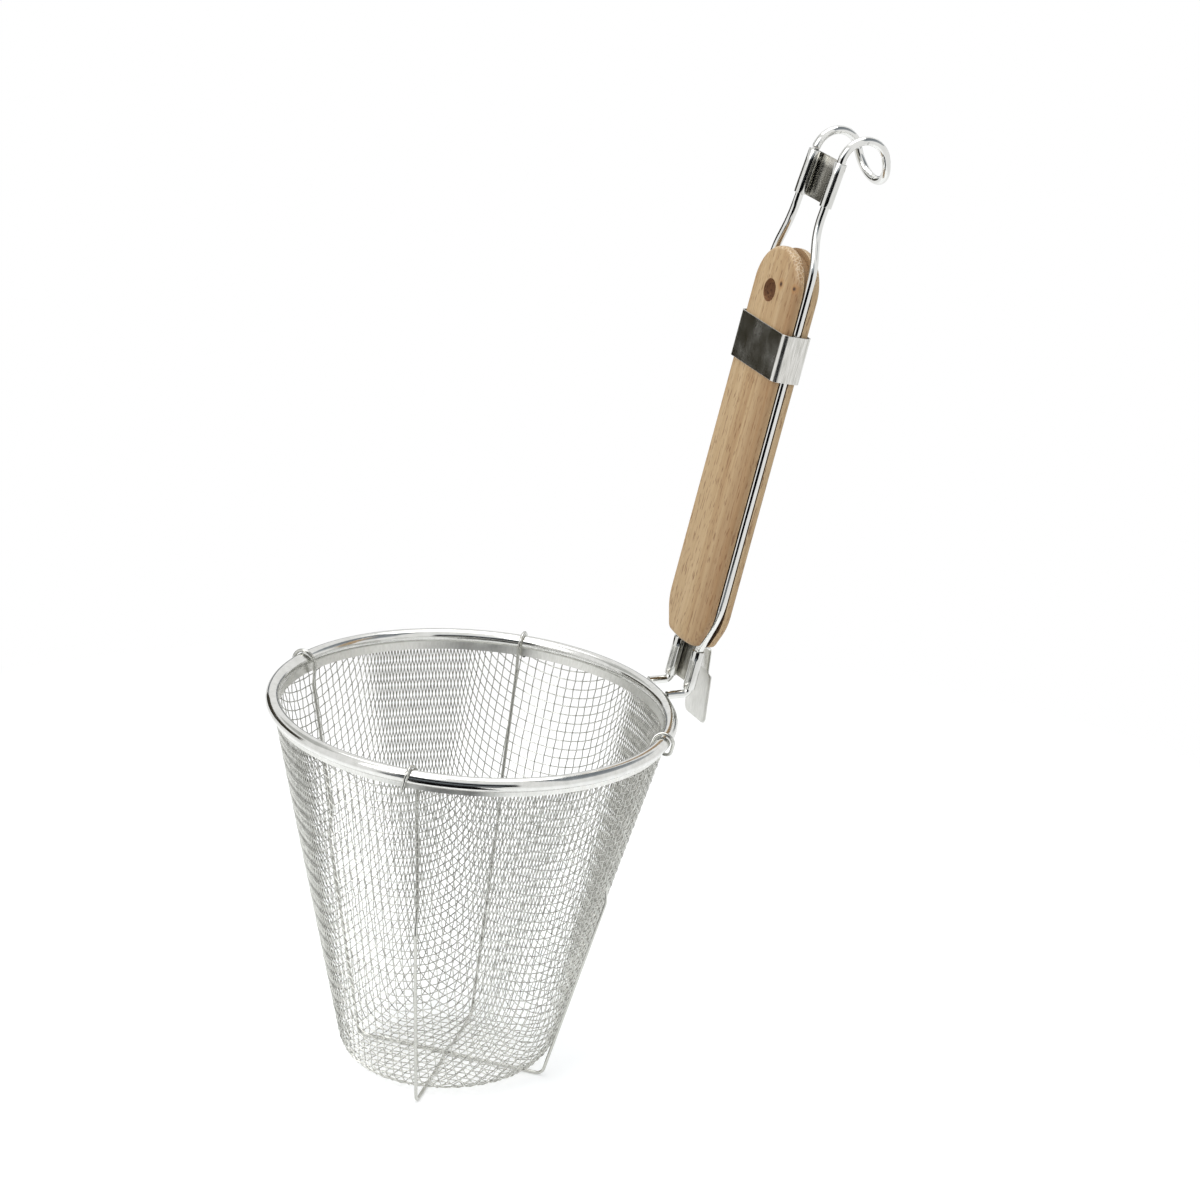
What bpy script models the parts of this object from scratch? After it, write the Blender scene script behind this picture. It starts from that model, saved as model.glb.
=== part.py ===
"""Long-handled mesh strainer that hangs on the edge of a pot.

A cup of woven steel mesh is held in a rolled rim, stands on two crossed support wires and
hangs from one long wire that runs up both edges of a beech grip and ends in a hook.

Frame: metres, +Z up along the cup's axis, +X from the cup towards the handle. The origin is
the place of the pot's edge: under the two handle wires, between the rim and the rest tab.
"""

import math

import bmesh
import bpy
from mathutils import Matrix, Vector

MM = 0.001

# Clearance between pieces that touch on the real strainer
GAP = 0.3 * MM

# Rim: a sheet strip rolled round a core wire, its two edges clamping the mesh
RIM_DIAMETER = 140 * MM
BEAD_DIAMETER = 4.8 * MM
RIM_SHEET = 0.4 * MM
RIM_CORE_DIAMETER = 3.0 * MM
INNER_SKIRT_LENGTH = 2.4 * MM
OUTER_SKIRT_LENGTH = 1.6 * MM
RIM_STEPS = 48

# Mesh cup
CUP_DEPTH = 129.2 * MM
CUP_BASE_DIAMETER = 70.4 * MM
CUP_CORNER_RADIUS = 11 * MM
BASE_TILT = math.radians(3.5)
BASE_LOW_SIDE = math.radians(153)
TILT_START = 12 * MM
NET_PITCH = 16 * MM
NET_STRUT_WIDTH = 0.9 * MM
NET_THICKNESS = 0.8 * MM
NET_HOOP_HEIGHT = 5 * MM
NET_HOOP_EVENNESS = 1.3
NET_SNAP = 0.22 * NET_PITCH
NET_LEAST_OPENING = 1.2 * NET_STRUT_WIDTH
NET_TURN = math.radians(37.5)

# Support wires, each one U whose ends curl over the rim, a little askew
SUPPORT_WIRE_DIAMETER = 1.2 * MM
SUPPORT_A_ANGLES = (math.radians(-44), math.radians(124.5))
SUPPORT_B_ANGLES = (math.radians(51.5), math.radians(230.8))
SUPPORT_A_SKEWS = (5.5 * MM, 4.5 * MM)
SUPPORT_B_SKEWS = (-1.5 * MM, -4.2 * MM)
SUPPORT_FOOT_BEND = 3.2 * MM
SUPPORT_TIP_BEND = 2.0 * MM
BRIDGE_HALF_LENGTH = 2.4 * MM
BRIDGE_RAMP = 5.7 * MM
THREAD_DEPTH = 54 * MM
THREAD_SEARCH = 8 * MM
THREAD_RUN = 9 * MM
THREAD_BEND = 5 * MM

# Handle wire
HANDLE_WIRE_DIAMETER = 3.0 * MM
HANDLE_REACH = 7.9 * MM
HANDLE_LEAN = math.radians(10.7)
HANDLE_WIRE_DROP = -0.5 * MM
POT_EDGE_REACH = 7.0 * MM
LOWER_SPACING = 14.3 * MM
UPPER_SPACING = 18.3 * MM
ROOT_BEND = 2.2 * MM
SPREAD_BEND = 8 * MM
SIDE_BEND = 25 * MM
SPREAD_START = 0.5 * MM
SPREAD_END = 13.9 * MM
NECK_START = 3.8 * MM
NECK_LENGTH = 12.7 * MM
HOOK_LEAN = math.radians(5.4)
HOOK_LEAN_BEND = 25 * MM
HOOK_TURN = math.radians(150)
HOOK_RADIUS = 8.5 * MM
HOOK_WIDTH = 19.1 * MM
HOOK_RISE = 0.9 * MM
HOOK_UNEVENNESS = 1.1 * MM

# Clips: a strip curled round both wires
CLIP_SHEET = 0.4 * MM
CLIP_GAP = 0.25 * MM
CLIP_CURL = math.radians(300)
CLIP_WEB_BULGE = 0.6 * MM
LOWER_CLIP_START = 2.4 * MM
LOWER_CLIP_LENGTH = 13.8 * MM
UPPER_CLIP_START = 8.4 * MM
UPPER_CLIP_LENGTH = 15.5 * MM

# Rest tab, folded back from the lower clip's web
TAB_STRIP_WIDTH = 6.5 * MM
TAB_WIDTH = 16 * MM
TAB_STAND_OFF = 3.3 * MM
TAB_FOLD_RISE = 1.0 * MM
TAB_SHOULDER_DROP = 8.4 * MM
TAB_LENGTH = 19 * MM
TAB_CORNER = 2.5 * MM
TAB_SPLAY = math.radians(8)
TAB_ROOT = 2 * MM
TAB_SHOULDER = 1.6 * MM

# Beech grip
GRIP_START = 17.6 * MM
GRIP_LENGTH = 141.7 * MM
GRIP_WIDTH = 29.4 * MM
GRIP_THICKNESS = 9.8 * MM
GRIP_TAPER = 10.2 * MM
GRIP_END_WIDTH = 18.6 * MM
GRIP_END_ARC = 0.8 * MM
GRIP_END_CORNER = 3.2 * MM
GRIP_EDGE_RADIUS = 1.6 * MM
GROOVE_WIDTH = 3.6 * MM
GROOVE_DEPTH = 2.2 * MM
HOLE_DIAMETER = 8 * MM
HOLE_FROM_TOP = 15.9 * MM
HOLE_OFFSET = 2.2 * MM

# Sliding band round grip and wires
BAND_START = 98.7 * MM
BAND_HEIGHT = 16.4 * MM
BAND_SHEET = 0.45 * MM
BAND_GAP = 0.25 * MM
BAND_CORNER = 2.4 * MM

# Worked out from the sizes above
RIM_RADIUS = RIM_DIAMETER / 2
BEAD_RADIUS = BEAD_DIAMETER / 2
BEAD_RING_RADIUS = RIM_RADIUS - BEAD_RADIUS
CUP_X = -(RIM_RADIUS + POT_EDGE_REACH)
RIM_Z = HANDLE_WIRE_DROP + HANDLE_WIRE_DIAMETER / 2
CUP_BOTTOM_Z = RIM_Z - CUP_DEPTH
WALL_LEAN = math.atan((BEAD_RING_RADIUS - CUP_BASE_DIAMETER / 2) / CUP_DEPTH)
CORNER_TURN = math.pi / 2 - WALL_LEAN
BASE_FLAT = CUP_BASE_DIAMETER / 2 - CUP_CORNER_RADIUS * math.tan(CORNER_TURN / 2)
CORNER_ARC = CUP_CORNER_RADIUS * CORNER_TURN
CORNER_HEIGHT = CUP_CORNER_RADIUS * (1 - math.cos(CORNER_TURN))
WALL_FOOT_RADIUS = BASE_FLAT + CUP_CORNER_RADIUS * math.sin(CORNER_TURN)
WALL_LENGTH = (CUP_DEPTH - CORNER_HEIGHT) / math.cos(WALL_LEAN)
MERIDIAN = BASE_FLAT + CORNER_ARC + WALL_LENGTH
SUPPORT_RADIUS = SUPPORT_WIRE_DIAMETER / 2
HANDLE_RADIUS = HANDLE_WIRE_DIAMETER / 2
NECK_HALF_GAP = NET_THICKNESS / 2 + GAP
MESH_EDGE = RIM_CORE_DIAMETER / 2 + GAP
MESH_TOP = MERIDIAN - MESH_EDGE
HOOP_EDGE = MESH_TOP - NET_HOOP_HEIGHT
FLOOR_Z = CUP_BOTTOM_Z - NET_THICKNESS / 2 - 2 * GAP - 2 * SUPPORT_WIRE_DIAMETER
WIRE_INSET = GROOVE_DEPTH - CLIP_GAP - HANDLE_RADIUS
GRIP_WIRE_Y = GRIP_WIDTH / 2 - WIRE_INSET
GRIP_TOP = GRIP_START + GRIP_LENGTH
LOWER_CLIP_TOP = LOWER_CLIP_START + LOWER_CLIP_LENGTH
CLIP_RADIUS = HANDLE_RADIUS + CLIP_GAP + CLIP_SHEET / 2

# Scene set-up

for old in list(bpy.data.objects):
    bpy.data.objects.remove(old, do_unlink=True)

product = bpy.data.collections.new("mesh_strainer")
bpy.context.scene.collection.children.link(product)
helpers = bpy.data.collections.new("cutters")
bpy.context.scene.collection.children.link(helpers)


def material(name, colour, roughness, metallic):
    """A Principled material with one colour."""
    made = bpy.data.materials.new(name)
    made.use_nodes = True
    shader = made.node_tree.nodes["Principled BSDF"]
    shader.inputs["Base Color"].default_value = (*colour, 1)
    shader.inputs["Roughness"].default_value = roughness
    shader.inputs["Metallic"].default_value = metallic
    return made


POLISHED = material("polished stainless steel", (0.78, 0.78, 0.76), 0.15, 1.0)
SATIN = material("satin stainless strip", (0.62, 0.62, 0.58), 0.35, 1.0)
WIRE = material("drawn stainless wire", (0.68, 0.68, 0.64), 0.3, 1.0)
BEECH = material("oiled beech", (0.55, 0.38, 0.23), 0.55, 0.0)


def add_object(name, data, finish, collection=None):
    """Put mesh or curve data into the scene as one named object."""
    thing = bpy.data.objects.new(name, data)
    (collection or product).objects.link(thing)
    if finish is not None:
        data.materials.append(finish)
    return thing


def as_mesh(thing):
    """Turn a curve object into a welded mesh object of the same name."""
    bpy.context.view_layer.update()
    graph = bpy.context.evaluated_depsgraph_get()
    mesh = bpy.data.meshes.new_from_object(thing.evaluated_get(graph))
    work = bmesh.new()
    work.from_mesh(mesh)
    bmesh.ops.remove_doubles(work, verts=work.verts, dist=0.005 * MM)
    bmesh.ops.dissolve_limit(work, angle_limit=0.001, verts=work.verts, edges=work.edges)
    bmesh.ops.recalc_face_normals(work, faces=work.faces)
    work.to_mesh(mesh)
    work.free()
    name = thing.name
    collection = thing.users_collection[0]
    matrix = thing.matrix_world.copy()
    bpy.data.objects.remove(thing, do_unlink=True)
    made = bpy.data.objects.new(name, mesh)
    made.matrix_world = matrix
    collection.objects.link(made)
    return made


def flat_outline(name, loops, thickness, finish, collection=None):
    """A flat piece in its own XY plane: outline loops, extruded either way along Z."""
    curve = bpy.data.curves.new(name, "CURVE")
    curve.dimensions = "2D"
    curve.fill_mode = "BOTH"
    curve.extrude = thickness / 2
    for loop in loops:
        spline = curve.splines.new("POLY")
        spline.points.add(len(loop) - 1)
        for point, (x, y) in zip(spline.points, loop):
            point.co = (x, y, 0, 1)
        spline.use_cyclic_u = True
    return as_mesh(add_object(name, curve, finish, collection))


def wire(name, points, diameter, finish):
    """A round wire along a list of points."""
    curve = bpy.data.curves.new(name, "CURVE")
    curve.dimensions = "3D"
    curve.bevel_depth = diameter / 2
    curve.bevel_resolution = 2
    curve.use_fill_caps = True
    spline = curve.splines.new("POLY")
    spline.points.add(len(points) - 1)
    for point, place in zip(spline.points, points):
        point.co = (*place, 1)
    made = add_object(name, curve, finish)
    for each in curve.splines:
        each.use_smooth = True
    return made


def rounded_path(corners, step=math.radians(12)):
    """Points along a wire bent at each corner: corners are (place, bend radius)."""
    points = [Vector(corners[0][0])]
    for before, here, after in zip(corners, corners[1:], corners[2:]):
        corner = Vector(here[0])
        back = (Vector(before[0]) - corner).normalized()
        ahead = (Vector(after[0]) - corner).normalized()
        turn = math.pi - back.angle(ahead)
        if turn < 0.001 or here[1] == 0:
            points.append(corner)
            continue
        reach = here[1] * math.tan(turn / 2)
        middle = (back + ahead).normalized()
        centre = corner + middle * (here[1] / math.cos(turn / 2))
        start = corner + back * reach - centre
        axis = back.cross(ahead).normalized()
        count = max(2, math.ceil(turn / step))
        for k in range(count + 1):
            spin = Matrix.Rotation(-turn * k / count, 3, axis)
            points.append(centre + spin @ start)
    points.append(Vector(corners[-1][0]))
    return points


def smooth(thing, angle=math.radians(35)):
    """Shade round faces smooth and keep the sharp edges."""
    thing.data.shade_smooth()
    thing.data.set_sharp_from_angle(angle=angle)
    return thing


def round_the_cup(radius, angle, height):
    """A place given by its distance from the cup's axis, its angle and its height."""
    return Vector((CUP_X + radius * math.cos(angle), radius * math.sin(angle), height))


def tilted(place):
    """A place on the level cup, moved with the wall and base that sit a little askew."""
    top = RIM_Z - TILT_START
    share = max(0.0, min(1.0, (top - place.z) / (top - CUP_BOTTOM_Z)))
    reach = (place.x - CUP_X) * math.cos(BASE_LOW_SIDE) + place.y * math.sin(BASE_LOW_SIDE)
    return place - Vector((0, 0, math.tan(BASE_TILT) * share * reach))


def cup_point(along, angle, out=0.0):
    """A place on the cup's middle surface, by its distance from the base centre."""
    return tilted(level_point(along, angle, out))


def level_point(along, angle, out=0.0):
    """As cup_point, on the cup before its base is tilted."""
    if along <= BASE_FLAT:
        radius, height, lean = along, 0.0, -math.pi / 2
    elif along <= BASE_FLAT + CORNER_ARC:
        bend = (along - BASE_FLAT) / CUP_CORNER_RADIUS
        radius = BASE_FLAT + CUP_CORNER_RADIUS * math.sin(bend)
        height = CUP_CORNER_RADIUS * (1 - math.cos(bend))
        lean = bend - math.pi / 2
    else:
        rest = along - BASE_FLAT - CORNER_ARC
        radius = WALL_FOOT_RADIUS + rest * math.sin(WALL_LEAN)
        height = CORNER_HEIGHT + rest * math.cos(WALL_LEAN)
        lean = -WALL_LEAN
    radius += out * math.cos(lean)
    height += out * math.sin(lean)
    return round_the_cup(radius, angle, CUP_BOTTOM_Z + height)


def wall_point(down, out, angle):
    """A place by the wall: distance down it from the bead's centre, and out from it."""
    return cup_point(MERIDIAN - down, angle, out)


# Rim


def rim_section(offset):
    """Half-section points of the rolled strip, in (down the wall, out of the wall)."""
    radius = BEAD_RADIUS - RIM_SHEET / 2 + offset
    neck = NECK_HALF_GAP + RIM_SHEET / 2 + offset
    mouth = math.asin(neck / radius)
    count = 8
    arc = []
    for k in range(count + 1):
        bend = mouth + (2 * math.pi - 2 * mouth) * k / count
        arc.append((radius * math.cos(bend), radius * math.sin(bend)))
    outer_end = (BEAD_RADIUS + OUTER_SKIRT_LENGTH, neck)
    inner_end = (BEAD_RADIUS + INNER_SKIRT_LENGTH, -neck)
    return [outer_end] + arc + [inner_end]


def make_rim_band():
    """The rolled strip: a thin folded section turned round the cup's axis."""
    loop = rim_section(-RIM_SHEET / 2) + rim_section(RIM_SHEET / 2)[::-1]
    mesh = bpy.data.meshes.new("rim_band")
    places = []
    for down, out in loop:
        place = wall_point(down, out, 0.0)
        places.append((place.x - CUP_X, 0.0, place.z))
    edges = [(k, (k + 1) % len(places)) for k in range(len(places))]
    mesh.from_pydata(places, edges, [])
    band = add_object("rim_band", mesh, POLISHED)
    band.location.x = CUP_X
    turn = band.modifiers.new("turn", "SCREW")
    turn.steps = RIM_STEPS
    turn.render_steps = RIM_STEPS
    turn.use_merge_vertices = True
    turn.merge_threshold = 0.01 * MM
    turn.use_smooth_shade = True
    return band


def make_rim_core():
    """The wire ring that stiffens the rim, hidden in the bead."""
    bpy.ops.mesh.primitive_torus_add(
        major_radius=BEAD_RING_RADIUS,
        minor_radius=RIM_CORE_DIAMETER / 2,
        major_segments=RIM_STEPS,
        minor_segments=8,
        location=(CUP_X, 0, RIM_Z),
    )
    ring = bpy.context.object
    ring.name = "rim_core_wire"
    for holder in ring.users_collection:
        holder.objects.unlink(ring)
    product.objects.link(ring)
    ring.data.materials.append(WIRE)
    return smooth(ring)


# Mesh cup: a square net draped over the cup, each side of each square kept at one length


def step_along_meridian(start):
    """The next node of a thread that runs straight up the cup."""
    low = start
    high = start + 2 * NET_PITCH
    for _ in range(50):
        middle = (low + high) / 2
        if (level_point(middle, 0) - level_point(start, 0)).length < NET_PITCH:
            low = middle
        else:
            high = middle
    return high


def fourth_corner(left, right, inner):
    """The node one pitch from both neighbours, on the far side of the inner node."""
    a = level_point(*left)
    b = level_point(*right)
    guess = a + b - level_point(*inner)
    angle = math.atan2(guess.y, guess.x - CUP_X)
    tries = [max(0.0, min(left[0], right[0]) + NET_PITCH * (k / 8 - 1)) for k in range(33)]
    along = min(tries, key=lambda value: (level_point(value, angle) - guess).length)
    tiny = 1e-7
    for _ in range(60):
        here = level_point(along, angle)
        miss_a = (here - a).length - NET_PITCH
        miss_b = (here - b).length - NET_PITCH
        if abs(miss_a) + abs(miss_b) < 1e-9:
            break
        up = level_point(along + tiny, angle)
        round_ = level_point(along, angle + tiny / NET_PITCH)
        a_up = ((up - a).length - NET_PITCH - miss_a) / tiny
        b_up = ((up - b).length - NET_PITCH - miss_b) / tiny
        a_round = ((round_ - a).length - NET_PITCH - miss_a) / tiny * NET_PITCH
        b_round = ((round_ - b).length - NET_PITCH - miss_b) / tiny * NET_PITCH
        scale = a_up * b_round - a_round * b_up
        if abs(scale) < 1e-9:
            break
        move = (miss_a * b_round - miss_b * a_round) / scale
        spin = (a_up * miss_b - b_up * miss_a) / scale
        ease = min(1.0, NET_PITCH / 2 / (abs(move) + 1e-12), 0.4 / (abs(spin) + 1e-12))
        along -= ease * move
        angle -= ease * spin
    return along, angle


def drape_quadrant():
    """Nodes of one quarter of the net: {(i, j): (distance up the cup, angle)}."""
    count = int(2.4 * MERIDIAN / NET_PITCH) + 2
    straight = [0.0]
    while len(straight) < count:
        straight.append(step_along_meridian(straight[-1]))
    nodes = {}
    for k, along in enumerate(straight):
        nodes[(k, 0)] = (along, 0.0)
        nodes[(0, k)] = (along, math.pi / 2)
    for total in range(2, 2 * count):
        for i in range(1, total):
            j = total - i
            if (i - 1, j) not in nodes or (i, j - 1) not in nodes or (i - 1, j - 1) not in nodes:
                continue
            left = nodes[(i - 1, j)]
            right = nodes[(i, j - 1)]
            if min(left[0], right[0]) > MERIDIAN + NET_PITCH:
                continue
            nodes[(i, j)] = fourth_corner(left, right, nodes[(i - 1, j - 1)])
    return nodes


def drape_net():
    """Nodes of the whole net, turned to where its threads lie on the cup."""
    quarter = drape_quadrant()
    net = {}
    for (i, j), (along, angle) in quarter.items():
        for turn, key in enumerate(((i, j), (-j, i), (-i, -j), (j, -i))):
            net[key] = (along, angle + turn * math.pi / 2 + NET_TURN)
    return net


NET = drape_net()


def net_cells():
    """Corner keys of every square that lies at least partly below the hoop."""
    cells = []
    for i, j in NET:
        keys = ((i, j), (i + 1, j), (i + 1, j + 1), (i, j + 1))
        if all(key in NET for key in keys) and min(NET[key][0] for key in keys) < HOOP_EDGE:
            cells.append(keys)
    return cells


def lattice_surface():
    """The net as an open surface of squares, cut off level below the hoop."""
    level = cup_point(HOOP_EDGE, 0).z
    radius = cup_point(HOOP_EDGE, 0).x - CUP_X
    work = bmesh.new()
    made = {}
    for keys in net_cells():
        for key in keys:
            if key not in made:
                along, angle = NET[key]
                if abs(along - HOOP_EDGE) < NET_SNAP:
                    along = HOOP_EDGE
                made[key] = work.verts.new(cup_point(along, angle))
        work.faces.new([made[key] for key in keys])
    bmesh.ops.bisect_plane(
        work,
        geom=work.verts[:] + work.edges[:] + work.faces[:],
        dist=0.001 * MM,
        plane_co=(0, 0, level),
        plane_no=(0, 0, 1),
        clear_outer=True,
    )
    loose = [vert for vert in work.verts if not vert.link_faces]
    bmesh.ops.delete(work, geom=loose, context="VERTS")
    longest = NET_HOOP_EVENNESS * 2 * math.pi * radius / RIM_STEPS
    while True:
        rim = [edge for edge in work.edges if edge.is_boundary]
        wide = [edge for edge in rim if edge.calc_length() > longest]
        if not wide:
            break
        bmesh.ops.subdivide_edges(work, edges=wide, cuts=1)
    for vert in {vert for edge in rim for vert in edge.verts}:
        vert.co = round_the_cup(radius, math.atan2(vert.co.y, vert.co.x - CUP_X), level)
    return work


def make_mesh_basket():
    """The cup's mesh as one coarse lattice with a solid hoop at its clamped edge."""
    work = lattice_surface()
    squares = work.faces[:]
    rim = [edge for edge in work.edges if edge.is_boundary]
    grown = bmesh.ops.extrude_edge_only(work, edges=rim)["geom"]
    for vert in [item for item in grown if isinstance(item, bmesh.types.BMVert)]:
        angle = math.atan2(vert.co.y, vert.co.x - CUP_X)
        vert.co = cup_point(MESH_TOP, angle)
    bmesh.ops.recalc_face_normals(work, faces=work.faces)
    open_squares = []
    for face in squares:
        if 2 * face.calc_area() / face.calc_perimeter() > NET_LEAST_OPENING:
            open_squares.append(face)
    bmesh.ops.inset_individual(
        work, faces=open_squares, thickness=NET_STRUT_WIDTH / 2, use_even_offset=True
    )
    bmesh.ops.delete(work, geom=open_squares, context="FACES")
    mesh = bpy.data.meshes.new("mesh_basket")
    work.to_mesh(mesh)
    work.free()
    basket = add_object("mesh_basket", mesh, WIRE)
    shell = basket.modifiers.new("wire thickness", "SOLIDIFY")
    shell.thickness = NET_THICKNESS
    shell.offset = 0
    shell.use_even_offset = True
    print("mesh basket: open squares", len(open_squares), "of", len(squares))
    return basket


# Support wires


def gap_to_net(points):
    """The least distance from a list of points to the threads of the net."""
    least = 1.0
    for (i, j), node in NET.items():
        start = cup_point(*node)
        for key in ((i + 1, j), (i, j + 1)):
            if key not in NET or node[0] > MERIDIAN or NET[key][0] > MERIDIAN:
                continue
            span = cup_point(*NET[key]) - start
            for point in points:
                share = max(0.0, min(1.0, (point - start).dot(span) / span.length_squared))
                least = min(least, (point - start - span * share).length)
    return least


def support_offsets():
    """How far inside and outside the wall's middle a support wire runs."""
    sag = NET_PITCH ** 2 / 8 / (BEAD_RING_RADIUS - THREAD_DEPTH * math.sin(WALL_LEAN))
    outside = NET_THICKNESS / 2 + GAP + SUPPORT_RADIUS
    return outside + sag, outside


def thread_depth(angle):
    """How far down the wall a leg goes through: the open square nearest THREAD_DEPTH."""
    inside, outside = support_offsets()
    best = None
    tries = 30
    for k in range(tries + 1):
        middle = THREAD_DEPTH + THREAD_SEARCH * (2 * k / tries - 1)
        points = []
        for share in range(9):
            down = middle + THREAD_RUN * (share / 8 - 0.5)
            points.append(wall_point(down, -inside + (inside + outside) * share / 8, angle))
        room = gap_to_net(points)
        if best is None or room > best[0]:
            best = (room, middle)
    print("leg at", round(math.degrees(angle)), "goes through at", round(best[1] / MM), "mm,",
          round((best[0] - SUPPORT_RADIUS - NET_STRUT_WIDTH / 2) / MM, 2), "mm clear")
    return best[1]


def support_leg(angle, skew):
    """Corners of one leg, from the tip under the rim down to the foot."""
    inside, outside = support_offsets()
    over = BEAD_RADIUS + GAP + SUPPORT_RADIUS
    under = BEAD_RADIUS + OUTER_SKIRT_LENGTH + GAP + SUPPORT_RADIUS
    through = thread_depth(angle)
    fall = RIM_Z - FLOOR_Z - SUPPORT_RADIUS - outside * math.sin(WALL_LEAN)
    bottom = fall / math.cos(WALL_LEAN)
    tip = angle + skew / RIM_RADIUS
    crest = angle + skew / RIM_RADIUS / 2
    return [
        (wall_point(under, NET_THICKNESS / 2 + GAP, tip), 0),
        (wall_point(under, over, tip), SUPPORT_TIP_BEND),
        (wall_point(-over, over, crest), over),
        (wall_point(-over, -over, crest), over),
        (wall_point(BEAD_RADIUS, -over, angle), THREAD_BEND),
        (wall_point(BEAD_RADIUS + INNER_SKIRT_LENGTH + THREAD_BEND, -inside, angle), THREAD_BEND),
        (wall_point(through - THREAD_RUN / 2, -inside, angle), THREAD_BEND),
        (wall_point(through + THREAD_RUN / 2, outside, angle), THREAD_BEND),
        (wall_line_point(bottom, outside, angle), SUPPORT_FOOT_BEND),
    ]


def wall_line_point(down, out, angle):
    """As wall_point, but on the wall's straight line carried on below the rounded corner."""
    radius = BEAD_RING_RADIUS - down * math.sin(WALL_LEAN) + out * math.cos(WALL_LEAN)
    height = RIM_Z - down * math.cos(WALL_LEAN) - out * math.sin(WALL_LEAN)
    return tilted(round_the_cup(radius, angle, height))


def crossing(first, second):
    """Where two straight runs under the base cross, seen from above."""
    a, b = first
    c, d = second
    along = b - a
    other = d - c
    scale = along.x * other.y - along.y * other.x
    share = ((c.x - a.x) * other.y - (c.y - a.y) * other.x) / scale
    return a + along * share


def make_supports():
    """Two U wires: one lies flat under the base, the other is bridged over it."""
    legs_a = [support_leg(*leg) for leg in zip(SUPPORT_A_ANGLES, SUPPORT_A_SKEWS)]
    legs_b = [support_leg(*leg) for leg in zip(SUPPORT_B_ANGLES, SUPPORT_B_SKEWS)]
    feet_a = [leg[-1][0] for leg in legs_a]
    feet_b = [leg[-1][0] for leg in legs_b]
    cross = crossing(feet_a, feet_b)
    run = (feet_b[1] - feet_b[0]).normalized()
    lift = SUPPORT_WIRE_DIAMETER + GAP
    up = Vector((0, 0, lift))
    foot = run * (BRIDGE_HALF_LENGTH + BRIDGE_RAMP)
    top = run * BRIDGE_HALF_LENGTH
    bridge = [(cross - foot, lift), (cross - top + up, lift), (cross + top + up, lift), (cross + foot, lift)]
    path_a = rounded_path(legs_a[0] + legs_a[1][::-1], math.radians(30))
    path_b = rounded_path(legs_b[0] + bridge + legs_b[1][::-1], math.radians(30))
    wire("support_wire_a", path_a, SUPPORT_WIRE_DIAMETER, WIRE)
    wire("support_wire_b", path_b, SUPPORT_WIRE_DIAMETER, WIRE)


# Handle


handle_frame = bpy.data.objects.new("handle_frame", None)
handle_frame.location = (CUP_X + RIM_RADIUS + HANDLE_REACH, 0, RIM_Z)
handle_frame.rotation_euler = (0, HANDLE_LEAN, 0)
helpers.objects.link(handle_frame)
bpy.context.view_layer.update()
HANDLE_MATRIX = handle_frame.matrix_world.copy()


def on_handle(back, side, up):
    """World place of a point given behind, beside and along the handle."""
    return HANDLE_MATRIX @ Vector((back, side, up))


def neck_top():
    """Height along the handle where the wires have closed up and begin to lean back."""
    return GRIP_TOP - NECK_START + NECK_LENGTH


def leaned(up):
    """Place behind and along the handle, measured up the leaned-back part."""
    return up * math.sin(HOOK_LEAN), neck_top() + up * math.cos(HOOK_LEAN)


def half_handle_wire(side):
    """Corners from one welded end at the rim to the bottom of the hook."""
    low_y = side * LOWER_SPACING / 2
    grip_y = side * GRIP_WIRE_Y
    high_y = side * UPPER_SPACING / 2
    hook_y = side * HOOK_WIDTH / 2
    wire_z = RIM_Z - HANDLE_WIRE_DROP
    level = min(BEAD_RADIUS, max(0.0, abs(HANDLE_WIRE_DROP) - HANDLE_RADIUS))
    reach = BEAD_RING_RADIUS + math.sqrt(BEAD_RADIUS ** 2 - level ** 2) + GAP
    forward = math.sqrt(reach ** 2 - (LOWER_SPACING / 2 - HANDLE_RADIUS) ** 2)
    end = Vector((CUP_X + forward, low_y, wire_z))
    root = on_handle(0, low_y, -HANDLE_WIRE_DROP / math.cos(HANDLE_LEAN))
    turn = HOOK_TURN / 2
    arm = HOOK_RADIUS * math.tan(turn / 2)
    clip_top = UPPER_CLIP_START + UPPER_CLIP_LENGTH
    leave = leaned(clip_top + HOOK_RISE / 2)
    first = leaned(clip_top + HOOK_RISE - side * HOOK_UNEVENNESS / 2 + arm)
    slope = HOOK_LEAN + turn
    second = (first[0] + 2 * arm * math.sin(slope), first[1] + 2 * arm * math.cos(slope))
    slope += turn
    fall = arm + HOOK_WIDTH / 2
    last = (second[0] + fall * math.sin(slope), second[1] + fall * math.cos(slope))
    return [
        (end, 0),
        (root, ROOT_BEND),
        (on_handle(0, low_y, LOWER_CLIP_TOP + SPREAD_START), SPREAD_BEND),
        (on_handle(0, grip_y, GRIP_START + SPREAD_END), SIDE_BEND),
        (on_handle(0, grip_y, GRIP_TOP - NECK_START), SIDE_BEND),
        (on_handle(0, high_y, neck_top()), HOOK_LEAN_BEND),
        (on_handle(leave[0], high_y, leave[1]), 0),
        (on_handle(first[0], (high_y + hook_y) / 2, first[1]), HOOK_RADIUS),
        (on_handle(second[0], hook_y, second[1]), HOOK_RADIUS),
        (on_handle(last[0], hook_y, last[1]), HOOK_WIDTH / 2),
    ]


def make_handle_wire():
    """One wire from the rim, up one side, round the hook and down the other side."""
    corners = half_handle_wire(-1) + half_handle_wire(1)[::-1]
    return wire("handle_wire", rounded_path(corners), HANDLE_WIRE_DIAMETER, POLISHED)


def offset_path(points, distance):
    """A 2D path moved sideways by a distance."""
    moved = []
    for k, point in enumerate(points):
        before = points[max(0, k - 1)]
        after = points[min(len(points) - 1, k + 1)]
        way = (Vector(after) - Vector(before)).normalized()
        moved.append((point[0] - way.y * distance, point[1] + way.x * distance))
    return moved


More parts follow.
